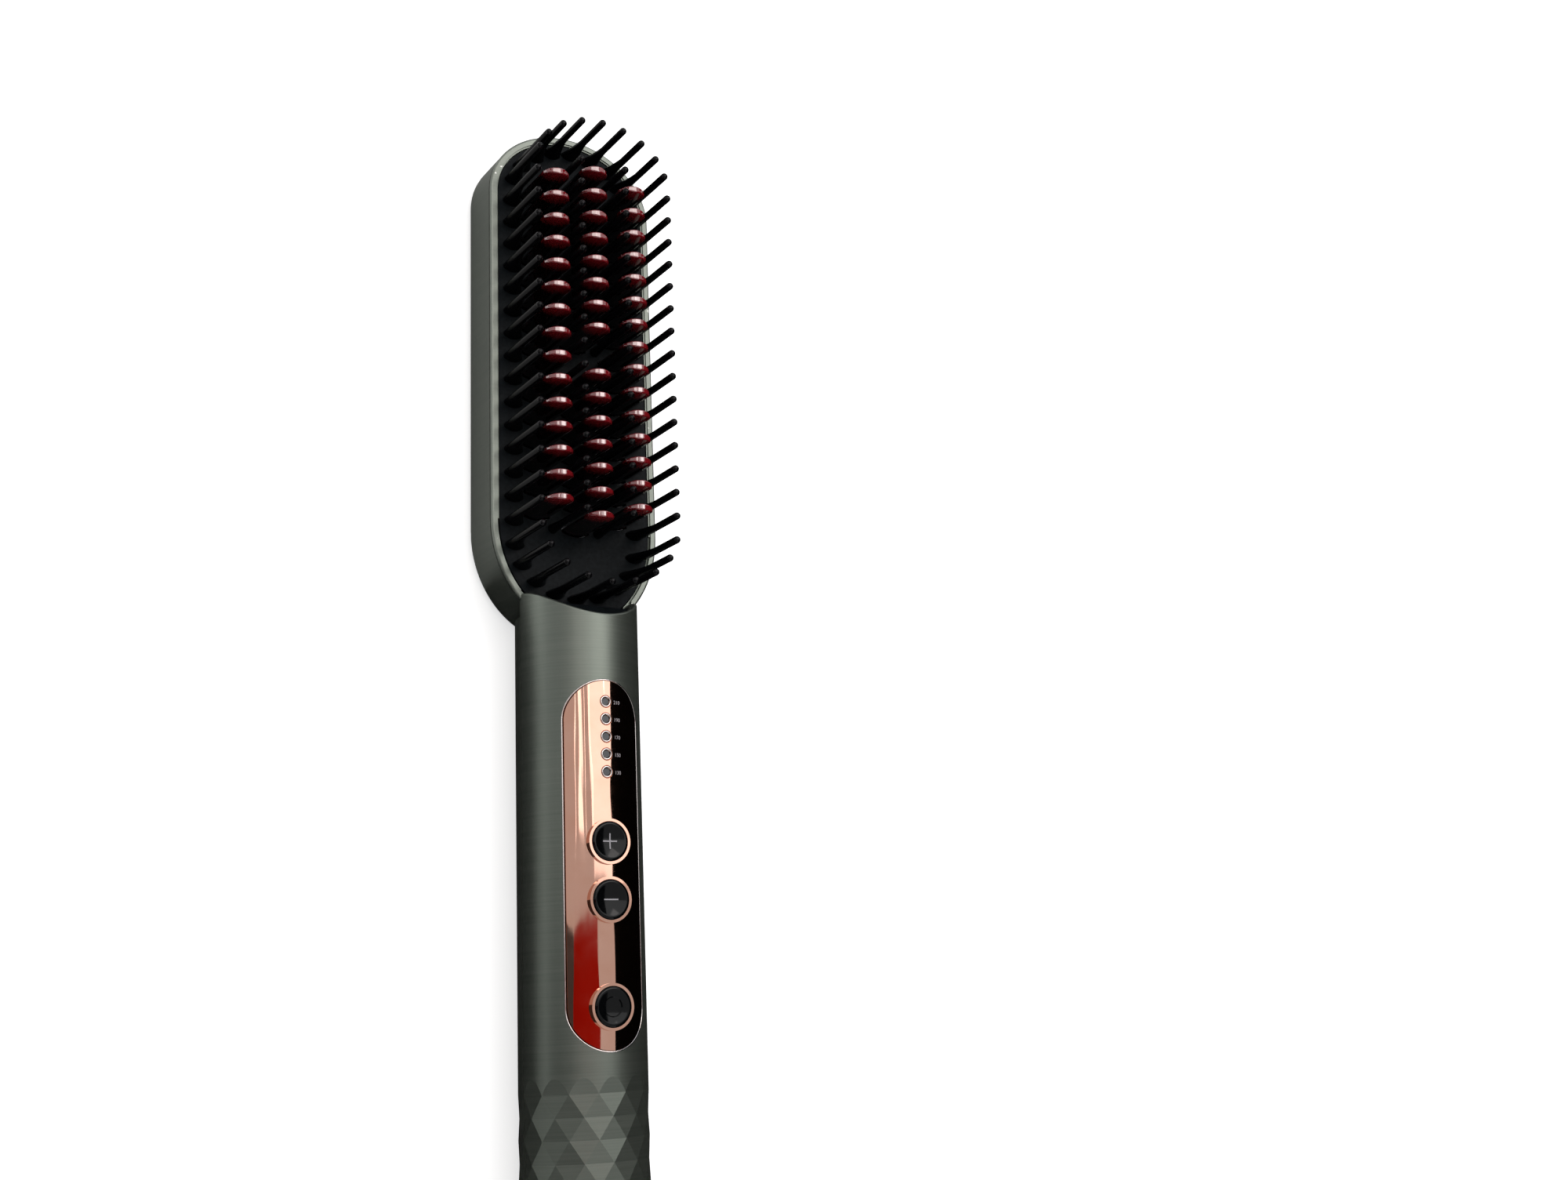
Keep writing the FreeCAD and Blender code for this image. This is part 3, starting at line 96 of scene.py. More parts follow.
# The studio, in metres, and its plain light
WORLD_LIGHT = 0.58
FLOOR_LEVEL = -0.0002
FLOOR_REACH = 6
FLOOR_GLOW = 0.55
FLAG_LEVEL = -0.0001
STRIP_LENGTH = 0.22
STRIP_POWER = 5.6

# The photo's width and the camera's focal length, in its pixels
PHOTO_WIDTH = 2000
PHOTO_FOCUS = 2188.24


def linear(code):
    """A colour written as an sRGB hex value, in Blender's linear light."""
    channels = [int(code[index : index + 2], 16) / 255 for index in (1, 3, 5)]
    return [c / 12.92 if c <= 0.04045 else ((c + 0.055) / 1.055) ** 2.4 for c in channels] + [1.0]


def per(*sizes):
    """How many lumps of each size, in millimetres, go to a metre."""
    return [1 / (size * MM) for size in sizes]


# Materials
def add(owner, kind, inputs=(), **settings):
    """Adds a node with its settings; inputs are pairs of a socket and a value or another node's output."""
    tree = owner.node_tree
    node = tree.nodes.new(kind)
    for name, value in settings.items():
        setattr(node, name, value)
    for socket, value in inputs:
        if isinstance(value, bpy.types.NodeSocket):
            tree.links.new(value, node.inputs[socket])
        else:
            node.inputs[socket].default_value = value
    return node


def surface(name, **values):
    """A new material, its object coordinates and its shader's plain values."""
    material = bpy.data.materials.new(name)
    material.use_nodes = True
    shader = material.node_tree.nodes["Principled BSDF"]
    for socket, value in values.items():
        shader.inputs[socket.replace("_", " ")].default_value = value
    return material, add(material, "ShaderNodeTexCoord").outputs["Object"]


def finish(material, **outputs):
    """Links patterns to the sockets of a material's shader."""
    shader = material.node_tree.nodes["Principled BSDF"]
    for socket, output in outputs.items():
        material.node_tree.links.new(output, shader.inputs[socket.replace("_", " ")])
    return material


# Metallic paint sprayed on moulded ABS: a satin grey-green sheen with fine streaks across the brush, and
# a few pale nicks along the rim where asked for, with a faint painted highlight along the whole rim top.
def satin_paint(name, nicks_and_rim_highlight):
    material, where = surface(name, Metallic=0.9)
    across = add(material, "ShaderNodeMapping", [("Vector", where), ("Scale", per(24, 0.4, 24))])
    streaks = add(
        material,
        "ShaderNodeTexNoise",
        [("Vector", across.outputs[0]), ("Scale", 1.0), ("Detail", 4.0)],
    )
    broad = add(material, "ShaderNodeMapping", [("Vector", where), ("Scale", per(30, 60, 30))])
    clouds = add(
        material,
        "ShaderNodeTexNoise",
        [("Vector", broad.outputs[0]), ("Scale", 1.0), ("Detail", 2.0)],
    )
    fine = add(material, "ShaderNodeMapping", [("Vector", where), ("Scale", per(0.25, 0.25, 0.25))])
    flake = add(
        material,
        "ShaderNodeTexNoise",
        [("Vector", fine.outputs[0]), ("Scale", 1.0), ("Detail", 2.0)],
    )
    tone = add(material, "ShaderNodeMapRange", [(0, streaks.outputs[0]), (1, 0.3), (2, 0.7)])
    streaked = add(
        material,
        "ShaderNodeMix",
        [(0, tone.outputs[0]), (6, linear("#717870")), (7, linear("#7a8078"))],
        data_type="RGBA",
    )
    patch = add(
        material,
        "ShaderNodeMapRange",
        [(0, clouds.outputs[0]), (1, 0.4), (2, 0.75), (3, 0.0), (4, 0.5)],
    )
    colour = add(
        material,
        "ShaderNodeMix",
        [(0, patch.outputs[0]), (6, streaked.outputs[2]), (7, linear("#686d67"))],
        data_type="RGBA",
    )
    if nicks_and_rim_highlight:
        spots = add(material, "ShaderNodeMapping", [("Vector", where), ("Scale", per(2.2, 2.2, 2.2))])
        chips = add(
            material,
            "ShaderNodeTexNoise",
            [("Vector", spots.outputs[0]), ("Scale", 1.0), ("Detail", 3.0)],
        )
        height = add(material, "ShaderNodeSeparateXYZ", [(0, where)])
        edge = add(
            material,
            "ShaderNodeMapRange",
            [(0, height.outputs[2]), (1, (RIM_TOP - 0.5) * MM), (2, (RIM_TOP - 0.1) * MM)],
        )
        chip = add(material, "ShaderNodeMapRange", [(0, chips.outputs[0]), (1, 0.68), (2, 0.72)])
        # Painted highlight: even where there is no nick, the rim top is mixed a little towards the pale
        # colour
        bare = add(material, "ShaderNodeMapRange", [(0, chip.outputs[0]), (3, 0.06), (4, 0.85)])
        nicks_and_painted_highlight = add(
            material,
            "ShaderNodeMath",
            [(0, edge.outputs[0]), (1, bare.outputs[0])],
            operation="MULTIPLY",
        )
        colour = add(
            material,
            "ShaderNodeMix",
            [(0, nicks_and_painted_highlight.outputs[0]), (6, colour.outputs[2]), (7, linear("#dfe1dc"))],
            data_type="RGBA",
        )
    rough = add(
        material,
        "ShaderNodeMapRange",
        [(0, streaks.outputs[0]), (1, 0.2), (2, 0.8), (3, 0.38), (4, 0.46)],
    )
    ripple = add(
        material,
        "ShaderNodeBump",
        [("Height", streaks.outputs[0]), ("Distance", 0.004 * MM), ("Strength", 0.4)],
    )
    normal = add(
        material,
        "ShaderNodeBump",
        [
            ("Height", flake.outputs[0]),
            ("Distance", 0.01 * MM),
            ("Strength", 0.35),
            ("Normal", ripple.outputs[0]),
        ],
    )
    return finish(
        material, Base_Color=colour.outputs[2], Roughness=rough.outputs[0], Normal=normal.outputs[0]
    )


# Rose gold plating on a polished moulding: a mirror that waves a little lengthwise, as moulded plastic does.
def rose_gold_plating():
    material, where = surface("rose_gold_plating_on_polished_abs", Metallic=1.0)
    long_lumps = add(material, "ShaderNodeMapping", [("Vector", where), ("Scale", per(2.6, 30, 2.6))])
    wave = add(
        material,
        "ShaderNodeTexNoise",
        [("Vector", long_lumps.outputs[0]), ("Scale", 1.0), ("Detail", 1.0)],
    )
    lumps = add(material, "ShaderNodeMapping", [("Vector", where), ("Scale", per(6, 6, 6))])
    smear = add(
        material,
        "ShaderNodeTexNoise",
        [("Vector", lumps.outputs[0]), ("Scale", 1.0), ("Detail", 3.0)],
    )
    colour = add(
        material,
        "ShaderNodeMix",
        [(0, smear.outputs[0]), (6, linear("#d9a28b")), (7, linear("#e4b7a4"))],
        data_type="RGBA",
    )
    rough = add(
        material,
        "ShaderNodeMapRange",
        [(0, smear.outputs[0]), (1, 0.3), (2, 0.75), (3, 0.03), (4, 0.09)],
    )
    normal = add(
        material,
        "ShaderNodeBump",
        [("Height", wave.outputs[0]), ("Distance", 0.14 * MM), ("Strength", 0.7)],
    )
    return finish(
        material, Base_Color=colour.outputs[2], Roughness=rough.outputs[0], Normal=normal.outputs[0]
    )


# Polished black ABS: almost black, with a sharp reflection that dust dulls in places.
def polished_black(name, colour, rough, shine):
    material, where = surface(name, IOR=1.5, Specular_IOR_Level=shine)
    grains = add(material, "ShaderNodeMapping", [("Vector", where), ("Scale", per(0.9, 0.9, 0.9))])
    dust = add(
        material,
        "ShaderNodeTexNoise",
        [("Vector", grains.outputs[0]), ("Scale", 1.0), ("Detail", 4.0)],
    )
    tone = add(
        material,
        "ShaderNodeMix",
        [(0, dust.outputs[0]), (6, linear(colour)), (7, linear("#08090a"))],
        data_type="RGBA",
    )
    gloss = add(
        material,
        "ShaderNodeMapRange",
        [(0, dust.outputs[0]), (1, 0.35), (2, 0.75), (3, rough), (4, rough + 0.08)],
    )
    normal = add(
        material,
        "ShaderNodeBump",
        [("Height", dust.outputs[0]), ("Distance", 0.004 * MM), ("Strength", 0.3)],
    )
    return finish(material, Base_Color=tone.outputs[2], Roughness=gloss.outputs[0], Normal=normal.outputs[0])


# Moulded nylon: near black with a soft shine on round tips and faint flow lines up each bristle.
def moulded_nylon():
    material, where = surface("black_moulded_nylon", IOR=1.53, Specular_IOR_Level=0.16)
    upright = add(material, "ShaderNodeMapping", [("Vector", where), ("Scale", per(0.5, 0.5, 4))])
    flow = add(
        material,
        "ShaderNodeTexNoise",
        [("Vector", upright.outputs[0]), ("Scale", 1.0), ("Detail", 3.0)],
    )
    tone = add(
        material,
        "ShaderNodeMix",
        [(0, flow.outputs[0]), (6, linear("#030304")), (7, linear("#08080a"))],
        data_type="RGBA",
    )
    gloss = add(
        material,
        "ShaderNodeMapRange",
        [(0, flow.outputs[0]), (1, 0.3), (2, 0.8), (3, 0.14), (4, 0.22)],
    )
    normal = add(
        material,
        "ShaderNodeBump",
        [("Height", flow.outputs[0]), ("Distance", 0.01 * MM), ("Strength", 0.4)],
    )
    return finish(material, Base_Color=tone.outputs[2], Roughness=gloss.outputs[0], Normal=normal.outputs[0])


# Ceramic coating baked on cast teeth: maroon at the crests, which shine, and darkened to nearly black
# towards the roots as painted shade.
def maroon_ceramic():
    material, where = surface("maroon_ceramic_coating", IOR=1.85, Specular_IOR_Level=1.0)
    lumps = add(material, "ShaderNodeMapping", [("Vector", where), ("Scale", per(1.6, 1.6, 1.6))])
    peel = add(
        material,
        "ShaderNodeTexNoise",
        [("Vector", lumps.outputs[0]), ("Scale", 1.0), ("Detail", 1.0)],
    )
    tone = add(
        material,
        "ShaderNodeMix",
        [(0, peel.outputs[0]), (6, linear("#701017")), (7, linear("#7c141b"))],
        data_type="RGBA",
    )
    # Painted shade: lower on each tooth the colour fades to near black, as if the teeth shaded each other
    # towards the roots
    place = add(material, "ShaderNodeSeparateXYZ", [("Vector", where)])
    crest = add(
        material,
        "ShaderNodeMapRange",
        [(0, place.outputs[2]), (1, TOOTH_PAINTED_SHADE_BELOW * MM), (2, TOOTH_UNSHADED_ABOVE * MM)],
    )
    tone = add(
        material,
        "ShaderNodeMix",
        [(0, crest.outputs[0]), (6, linear("#0a0304")), (7, tone.outputs[2])],
        data_type="RGBA",
    )
    gloss = add(
        material,
        "ShaderNodeMapRange",
        [(0, peel.outputs[0]), (1, 0.3), (2, 0.8), (3, 0.06), (4, 0.1)],
    )
    return finish(material, Base_Color=tone.outputs[2], Roughness=gloss.outputs[0])


# Two tones in lumps of a given size: bare metal, ceramic, mica, epoxy, wire, the pale trim whose colour is a
# painted highlight, and the ink.
def two_tone(name, tones, rough, lump, depth, **values):
    material, where = surface(name, **values)
    lumps = add(material, "ShaderNodeMapping", [("Vector", where), ("Scale", per(*lump))])
    marks = add(
        material,
        "ShaderNodeTexNoise",
        [("Vector", lumps.outputs[0]), ("Scale", 1.0), ("Detail", 4.0)],
    )
    tone = add(
        material,
        "ShaderNodeMix",
        [(0, marks.outputs[0]), (6, linear(tones[0])), (7, linear(tones[1]))],
        data_type="RGBA",
    )
    gloss = add(
        material,
        "ShaderNodeMapRange",
        [(0, marks.outputs[0]), (1, 0.3), (2, 0.8), (3, rough), (4, rough + 0.14)],
    )
    normal = add(
        material,
        "ShaderNodeBump",
        [("Height", marks.outputs[0]), ("Distance", depth * MM), ("Strength", 0.5)],
    )
    return finish(material, Base_Color=tone.outputs[2], Roughness=gloss.outputs[0], Normal=normal.outputs[0])


# Zinc-plated steel: pale, faintly blotched, with the turning marks of a small screw.
zinc_steel = two_tone(
    "zinc_plated_steel", ("#8f9092", "#b9babc"), 0.24, (1.2, 1.2, 0.4), 0.006, Metallic=1.0
)
finishes = {
    "grey_paint": satin_paint("grey_metallic_paint_on_abs", False),
    "rose_gold_plate": rose_gold_plating(),
    "gloss_black": polished_black("polished_black_abs", "#050506", 0.1, 0.3),
    "black_nylon": moulded_nylon(),
    "maroon_ceramic": maroon_ceramic(),
    # milled aluminium: bright, with marks along the cut
    "bare_aluminium": two_tone(
        "milled_aluminium", ("#b4b6b8", "#d6d7d9"), 0.3, (0.5, 12, 0.5), 0.01, Metallic=1.0
    ),
    "spring_steel": zinc_steel,
    # sintered alumina: chalky white
    "alumina": two_tone("sintered_alumina", ("#e8e5dc", "#f2efe8"), 0.5, (0.3, 0.3, 0.3), 0.01, IOR=1.76),
    # pressed mica: tan flakes with a slight shine
    "mica": two_tone("pressed_mica", ("#a48c68", "#c2ad88"), 0.32, (1.6, 1.6, 1.6), 0.03, IOR=1.58),
    # dipped epoxy: black and rounded
    "epoxy_bead": two_tone("dipped_epoxy", ("#141414", "#222222"), 0.15, (1.2, 1.2, 1.2), 0.03, IOR=1.5),
    # drawn aluminium can: bright, with lines along its length
    "fuse_can": two_tone(
        "drawn_aluminium_can", ("#c4c5c6", "#dedfe0"), 0.22, (0.4, 5, 0.4), 0.01, Metallic=1.0
    ),
    # silicone insulation: off-white and soft
    "silicone_wire": two_tone(
        "silicone_insulation", ("#d8d4cc", "#e6e3dc"), 0.42, (0.5, 0.5, 0.5), 0.01, IOR=1.41
    ),
    # moulded polycarbonate light pins: smoky, so that an unlit lamp looks dark
    "clear_plastic": two_tone(
        "smoky_polycarbonate", ("#1d1e22", "#2c2d33"), 0.06, (0.8, 0.8, 0.8), 0.004, IOR=1.58
    ),
    # solder mask over glass laminate: green with a soft gloss
    "board_laminate": two_tone(
        "green_solder_mask", ("#12402a", "#1b5236"), 0.3, (0.8, 0.8, 0.8), 0.01, IOR=1.5
    ),
    # moulded epoxy packages: matt black
    "black_epoxy": two_tone(
        "moulded_black_epoxy", ("#161617", "#222224"), 0.5, (0.2, 0.2, 0.2), 0.02, IOR=1.5
    ),
    # polyester capacitor case: yellow
    "capacitor_box": two_tone(
        "yellow_polyester_case", ("#b9962c", "#c8a63c"), 0.32, (0.6, 0.6, 0.6), 0.01, IOR=1.5
    ),
    # lamp packages: cream white
    "led_package": two_tone(
        "white_lamp_package", ("#e4e0cf", "#f0edde"), 0.4, (0.3, 0.3, 0.3), 0.01, IOR=1.5
    ),
    # turned acetal: white with fine lathe lines
    "acetal": two_tone("turned_acetal", ("#dcdad4", "#e9e7e2"), 0.32, (0.6, 0.2, 0.6), 0.01, IOR=1.48),
    # turned brass: yellow with lathe lines
    "contact_brass": two_tone(
        "turned_brass", ("#b98f48", "#d9b36b"), 0.22, (0.4, 3, 0.4), 0.01, Metallic=1.0
    ),
}
# The same paint on the head's rim, where pale nicks show along the edge and a faint painted highlight
# lightens the rim top.
paint_with_rim_nicks_and_highlight = satin_paint("grey_metallic_paint_with_nicked_rim_and_painted_highlight", True)
# Polished black of the button caps, deeper than the other mouldings.
cap_gloss = polished_black("glossy_black_button_cap", "#030405", 0.05, 0.22)
# Satin black moulding: the comb's floor, a blue-black that is flatter than the caps.
comb_black = polished_black("satin_black_comb_moulding", "#171c1f", 0.4, 0.06)
# Pale trim: a polished line round the panel and round each light, whose pale colour is a painted highlight
# along those edges.
pale_trim_painted_highlight = two_tone(
    "polished_pale_trim_painted_highlight", ("#d9cfcc", "#ece5e2"), 0.1, (0.6, 0.6, 0.6), 0.001, Metallic=1.0
)
# Screen-printed ink: pale grey and flat.
print_ink = two_tone("pale_grey_printed_ink", ("#8d8b90", "#9f9da2"), 0.45, (0.2, 0.2, 0.2), 0.002, IOR=1.5)
own = {"head_frame": paint_with_rim_nicks_and_highlight, "comb_base": comb_black}
for entry in frame["record"]["subparts"]:
    piece = frame["nodes"][entry["node"]]
    coat = own.get(entry["node"], finishes[entry["material_slot"]])
    piece.data.materials.clear()
    piece.data.materials.append(coat)


# Pieces made here
def shaped(name, build, coat, smooth_angle=35):
    """A mesh object at the origin, in metres, from a bmesh in millimetres."""
    bmesh.ops.remove_doubles(build, verts=build.verts, dist=0.001)
    bmesh.ops.recalc_face_normals(build, faces=build.faces)
    bmesh.ops.scale(build, vec=(MM, MM, MM), verts=build.verts)
    mesh = bpy.data.meshes.new(name)
    build.to_mesh(mesh)
    build.free()
    for face in mesh.polygons:
        face.use_smooth = True
    mesh.set_sharp_from_angle(angle=math.radians(smooth_angle))
    mesh.materials.append(coat)
    item = bpy.data.objects.new(name, mesh)
    bpy.context.scene.collection.objects.link(item)
    return item


def cap_surface(key, radius):
    """The height of a button cap's dish at a radius; the power cap has a lower round field in its middle."""
    rim = CAP_RADIUS - CAP_EDGE
    height = CAP_TOP - CAP_DISH * (1 - (radius / rim) ** 2)
    if key == "power" and radius < POWER_STEP_RADIUS:
        return height - POWER_STEP_DROP * min(1.0, (POWER_STEP_RADIUS - radius) / POWER_STEP_RUN)
    return height


def button_cap(key):
    """A turned cap: a smooth dish, a rounded rim, a side down to the flange, and the stem."""
    rim = CAP_RADIUS - CAP_EDGE
    radii = [0, 0.4, 0.8, 1.2, 1.6, 1.8, 1.95, 2.05, 2.15, 2.2, 2.3, 2.6, 3.0, 3.4, rim]
    outline = [(radius, cap_surface(key, radius)) for radius in radii]
    for step in range(1, 7):
        turn = step * math.pi / 12
        outline.append((rim + CAP_EDGE * math.sin(turn), CAP_TOP - CAP_EDGE * (1 - math.cos(turn))))
    low = FLANGE_TOP - FLANGE_THICKNESS
    outline += [(CAP_RADIUS, FLANGE_TOP), (FLANGE_RADIUS, FLANGE_TOP), (FLANGE_RADIUS, low)]
    outline += [(STEM_RADIUS, low), (STEM_RADIUS, STEM_LOW), (0, STEM_LOW)]
    build = bmesh.new()
    corners = [build.verts.new((radius, KEY_ROWS[key], height)) for radius, height in outline]
    edges = [build.edges.new(pair) for pair in zip(corners, corners[1:])]
    bmesh.ops.spin(
        build,
        geom=corners + edges,
        cent=(0, KEY_ROWS[key], 0),
        axis=(0, 0, 1),
        angle=2 * math.pi,
        steps=72,
        use_merge=True,
    )
    cap = shaped(f"{key}_cap", build, cap_gloss)
    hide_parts(f"{key}_button")
    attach(cap, f"{key}_key")


def cap_mark(key, turns):
    """Printed bars that follow the dish of a cap: one for minus, two crossed for plus."""
    build = bmesh.new()
    for turn in turns:
        bar = bmesh.ops.create_grid(build, x_segments=16, y_segments=2, size=0.5)["verts"]
        bmesh.ops.scale(build, vec=(MARK_LENGTH, MARK_WIDTH, 1), verts=bar)
        bmesh.ops.rotate(build, cent=(0, 0, 0), matrix=Matrix.Rotation(turn, 3, "Z"), verts=bar)
    for vert in build.verts:
        vert.co.z = cap_surface(key, math.hypot(vert.co.x, vert.co.y)) + MARK_LIFT
    bmesh.ops.solidify(build, geom=build.faces[:], thickness=MARK_THICKNESS)
    bmesh.ops.translate(build, vec=(0, KEY_ROWS[key], 0), verts=build.verts)
    mark = shaped(f"{key}_mark", build, print_ink)
    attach(mark, f"{key}_key")


def light_numbers():
    """Plain temperature numbers printed beside the lights, wrapped round the panel."""
    build = bmesh.new()
    for row, label in zip(LIGHT_ROWS, ("210", "190", "170", "150", "130")):
        words = bpy.data.curves.new("number", "FONT")
        words.body = label
        words.size = NUMBER_SIZE
        words.extrude = INK_HALF
        words.align_y = "CENTER"
        holder = bpy.data.objects.new("number", words)
        bpy.context.scene.collection.objects.link(holder)
        bpy.context.view_layer.update()
        flat = bpy.data.meshes.new_from_object(holder.evaluated_get(bpy.context.evaluated_depsgraph_get()))
        flat.transform(Matrix.Translation((NUMBER_PLACE, row - NUMBER_DROP, 0)))
        build.from_mesh(flat)
        bpy.data.objects.remove(holder)
        bpy.data.meshes.remove(flat)
    for vert in build.verts:
        turn = vert.co.x / PANEL_RADIUS
        radius = PANEL_RADIUS + INK_HALF + vert.co.z
        vert.co = (radius * math.sin(turn), vert.co.y, AXIS_HEIGHT + radius * math.cos(turn))
    numbers = shaped("light_numbers", build, print_ink)
    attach(numbers, "casing")


def light_rings():
    """A rounded rim round each light, moulded with the panel, pale as a painted highlight on the rim."""
    build = bmesh.new()
    for row in LIGHT_ROWS:
        outline = []
        for turn in [step * math.pi / 5 for step in range(10)]:
            radius, height = RING_ROUND * math.cos(turn), RING_ROUND * math.sin(turn)
            outline.append(build.verts.new((RING_RADIUS + radius, row, RING_HEIGHT + height)))
        edges = [build.edges.new(pair) for pair in zip(outline, outline[1:] + outline[:1])]
        bmesh.ops.spin(
            build,
            geom=outline + edges,
            cent=(0, row, 0),
            axis=(0, 0, 1),
            angle=2 * math.pi,
            steps=40,
            use_merge=True,
        )
    rings = shaped("light_rings", build, pale_trim_painted_highlight, 60)
    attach(rings, "casing")


def panel_bead():
    """A pale bead in the groove round the panel, bent to the handle's roundness; its pale colour is a
    painted highlight along the panel's edge.
    """
    half = PANEL_HALF_WIDTH + BEAD_MARGIN
    far, near = PANEL_ENDS[0] + BEAD_MARGIN - half, PANEL_ENDS[1] - BEAD_MARGIN + half
    bends = [step * math.pi / BEAD_STEPS for step in range(BEAD_STEPS + 1)]
    course = [(bend, far) for bend in bends] + [(math.pi + bend, near) for bend in bends] + [(0.0, far)]
    last = len(course) - 1
    build = bmesh.new()
    bmesh.ops.create_grid(build, x_segments=last, y_segments=10, size=1)
    for vert in build.verts:
        bearing, centre = course[round((vert.co.x + 1) / 2 * last)]
        turn = (vert.co.y + 1) * math.pi
        x = half * math.cos(bearing)
        out = Vector((x, 0, math.sqrt(BEAD_RADIUS**2 - x**2))) / BEAD_RADIUS
        across = Vector((math.cos(bearing), math.sin(bearing), 0))
        across = (across - out * across.dot(out)).normalized()
        middle = out * BEAD_RADIUS + Vector((0, centre + half * math.sin(bearing), AXIS_HEIGHT))
        vert.co = middle + BEAD_ROUND * (across * math.cos(turn) + out * math.sin(turn))
    bead = shaped("panel_bead", build, pale_trim_painted_highlight, 60)
    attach(bead, "casing")


def housing_screws():
    """Pan-head screws with a cross recess, seen in the back of the brush."""
    build = bmesh.new()
    for x, y in SCREW_PLACES:
        rim = bmesh.ops.create_circle(build, radius=SCREW_HEAD_RADIUS - SCREW_CHAMFER, segments=48)["verts"]
        half, arm = RECESS_HALF, RECESS_ARM
        quarter = [(half, arm), (half, half), (arm, half), (arm, -half), (half, -half), (half, -arm)]
        corners = [build.verts.new((a, b, 0)) for a, b in quarter + [(-a, -b) for a, b in quarter]]
        cross = [build.edges.new((one, two)) for one, two in zip(corners, corners[1:] + corners[:1])]
        ring = list({edge for vert in rim for edge in vert.link_edges})
        bmesh.ops.bridge_loops(build, edges=ring + cross)
        sunk = bmesh.ops.extrude_edge_only(build, edges=cross)["geom"]
        pit = [item for item in sunk if isinstance(item, bmesh.types.BMVert)]
        bmesh.ops.translate(build, vec=(0, 0, RECESS_DEPTH), verts=pit)
        bmesh.ops.scale(build, vec=(RECESS_TAPER, RECESS_TAPER, 1), verts=pit)
        base = [item for item in sunk if isinstance(item, bmesh.types.BMEdge)]
        bmesh.ops.contextual_create(build, geom=base)
        loop, new = ring, list(rim) + corners + pit
        for radius, height in (
            (SCREW_HEAD_RADIUS, SCREW_CHAMFER),
            (SCREW_HEAD_RADIUS, SCREW_HEAD),
            (SCREW_RADIUS, SCREW_HEAD),
            (SCREW_RADIUS, SCREW_TOP - SCREW_LOW),
        ):
            step = bmesh.ops.extrude_edge_only(build, edges=loop)["geom"]
            verts = [item for item in step if isinstance(item, bmesh.types.BMVert)]
            loop = [item for item in step if isinstance(item, bmesh.types.BMEdge)]
            for vert in verts:
                spoke = Vector((vert.co.x, vert.co.y, 0)).normalized() * radius
                vert.co = (spoke.x, spoke.y, height)
            new += verts
        bmesh.ops.contextual_create(build, geom=loop)
        bmesh.ops.translate(build, vec=(x, y, SCREW_LOW), verts=new)
    screws = shaped("cross_head_screws", build, zinc_steel)
    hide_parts("housing_screws")
    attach(screws, "casing")


for key in KEY_ROWS:
    button_cap(key)
cap_mark("plus", (0, math.pi / 2))
cap_mark("minus", (0,))
light_numbers()
light_rings()
panel_bead()
housing_screws()


# Floor, light and camera
def level(left, right, near, far, height):
    """The corners of a rectangle that lies level."""
    return [(left, near, height), (right, near, height), (right, far, height), (left, far, height)]


def flat_card(name, colour, corners):
    """A flat sheet of matt paper that belongs to the stage."""
    build = bmesh.new()
    build.faces.new([build.verts.new(corner) for corner in corners])
    mesh = bpy.data.meshes.new(name)
    build.to_mesh(mesh)
    build.free()
    card = bpy.data.objects.new(name, mesh)
    bpy.context.scene.collection.objects.link(card)
    paper = surface(f"{name}_paper", Base_Color=linear(colour), Roughness=0.9, Specular_IOR_Level=0.0)[0]
    mesh.materials.append(paper)
    return card


def dark_card(name, colour, corners):
    """A card that only shows in reflections, as the dark side of a studio does."""
    card = flat_card(name, colour, corners)
    card.visible_camera = False
    card.visible_diffuse = False
    card.visible_shadow = False


def softbox(name, place, target, width, length, power, colour="#ffffff"):
    """A rectangular lamp that faces a target."""
    lamp = bpy.data.lights.new(name, "AREA")
    lamp.shape = "RECTANGLE"
    lamp.size, lamp.size_y, lamp.energy = width, length, power
    lamp.color = linear(colour)[:3]
    item = bpy.data.objects.new(name, lamp)
    bpy.context.scene.collection.objects.link(item)
    item.location = place
    item.rotation_euler = (Vector(target) - Vector(place)).to_track_quat("-Z", "Y").to_euler()


def white_floor():
    """A white floor that keeps the shadow and looks brighter to the camera and in reflections."""
    reach = FLOOR_REACH
    floor = flat_card("floor", "#fafafa", level(-reach, reach, -reach, reach, FLOOR_LEVEL))
    paper = floor.data.materials[0]
    seen = add(paper, "ShaderNodeLightPath").outputs
    shown = add(paper, "ShaderNodeMath", [(0, seen["Is Camera Ray"]), (1, seen["Is Glossy Ray"])])
    shown = add(paper, "ShaderNodeMath", [(0, shown.outputs[0]), (1, seen["Is Transmission Ray"])])
    glow = add(paper, "ShaderNodeMath", [(0, shown.outputs[0]), (1, FLOOR_GLOW)], operation="MULTIPLY")
    paper.node_tree.nodes["Principled BSDF"].inputs["Emission Color"].default_value = linear("#ffffff")
    finish(paper, Emission_Strength=glow.outputs[0])


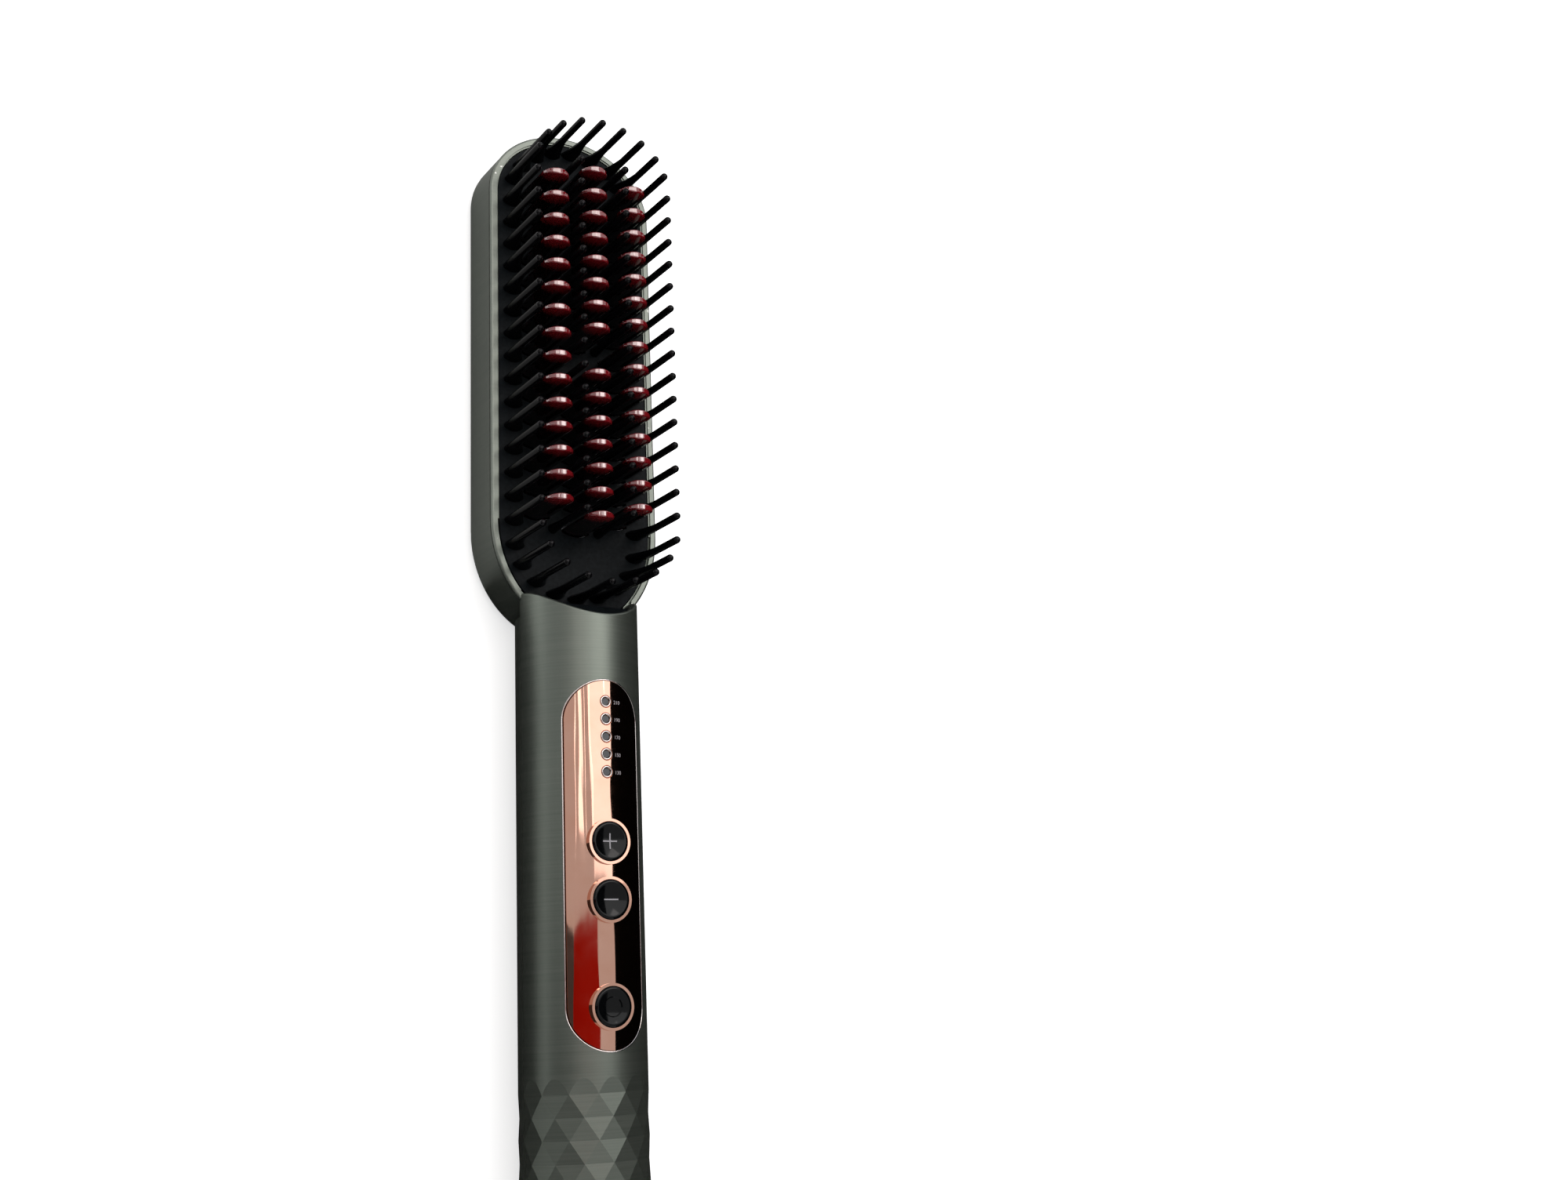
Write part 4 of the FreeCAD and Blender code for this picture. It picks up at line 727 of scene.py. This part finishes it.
def studio():
    """Plain world light, the floor, the lamps, and the cards that the plated panel reflects."""
    scene = bpy.context.scene
    scene.view_settings.view_transform = "Standard"
    world = bpy.data.worlds.new("studio")
    world.use_nodes = True
    world.node_tree.nodes["Background"].inputs["Color"].default_value = linear("#ffffff")
    world.node_tree.nodes["Background"].inputs["Strength"].default_value = WORLD_LIGHT
    scene.world = world
    white_floor()
    softbox("overhead_softbox", (0.27, 0.22, 0.74), (0.24, 0.22, 0.0), 0.40, 0.64, 1.0)
    softbox("back_softbox", (0.22, 0.42, 0.70), (0.0, 0.08, 0.0), 0.52, 0.34, 1.55, "#fff6f2")
    softbox("left_back_softbox", (-0.22, 0.44, 0.68), (0.0, 0.06, 0.0), 0.36, 0.30, 0.85, "#fff6f2")
    softbox("window_softbox", (0.45, 0.80, 0.50), (0.0, 0.05, 0.0), 0.5, 0.4, 0.5, "#d3e0f5")
    for across, width in ((-0.42, 0.03), (-0.27, 0.05), (-0.17, 0.015), (-0.06, 0.035)):
        place, target = (across, 0.16, 0.73), (across, 0.16, 0.0)
        softbox("strip_lamp", place, target, width, STRIP_LENGTH, STRIP_POWER * width * STRIP_LENGTH)
    right_side = [(0.42, -0.7, 0.0), (0.42, 0.3, 0.0), (0.50, 0.3, 0.74), (0.50, -0.7, 0.74)]
    left_side = [(-0.4, -0.9, 0.0), (-0.4, -0.02, 0.0), (-0.4, -0.02, 0.5), (-0.4, -0.9, 0.5)]
    dark_card("right_flag", "#050505", right_side)
    dark_card("red_flag", "#a81c0e", level(-0.9, 0.06, -0.12, 0.0, 0.76))
    dark_card("left_wall", "#4a4a4a", left_side)
    dark_card("floor_flag", "#050505", level(-0.014, 0.5, -0.3, 0.3, FLAG_LEVEL))
    dark_card("left_flag", "#050505", level(-0.1, -0.014, -0.3, 0.025, FLAG_LEVEL))
    dark_card("head_flag", "#a8a8a8", level(-0.05, -0.014, 0.025, 0.16, FLAG_LEVEL))


def photo_camera():
    """The camera that the photo was taken with, from its fit to the bristles, teeth and handle."""
    right = Vector((0.84388, -0.04529, 0.53461)).normalized()
    up = Vector((-0.09516, 0.968, 0.23222)).normalized()
    back = right.cross(up).normalized()
    up = back.cross(right)
    lens = bpy.data.cameras.new("photo_camera")
    lens.sensor_fit = "HORIZONTAL"
    lens.sensor_width = 36.0
    lens.lens = lens.sensor_width * PHOTO_FOCUS / PHOTO_WIDTH
    camera = bpy.data.objects.new("photo_camera", lens)
    bpy.context.scene.collection.objects.link(camera)
    place = Vector((-171.5, -77.8, 367.8)) * MM
    camera.matrix_world = Matrix.Translation(place) @ Matrix((right, up, back)).transposed().to_4x4()
    bpy.context.scene.camera = camera


studio()
photo_camera()
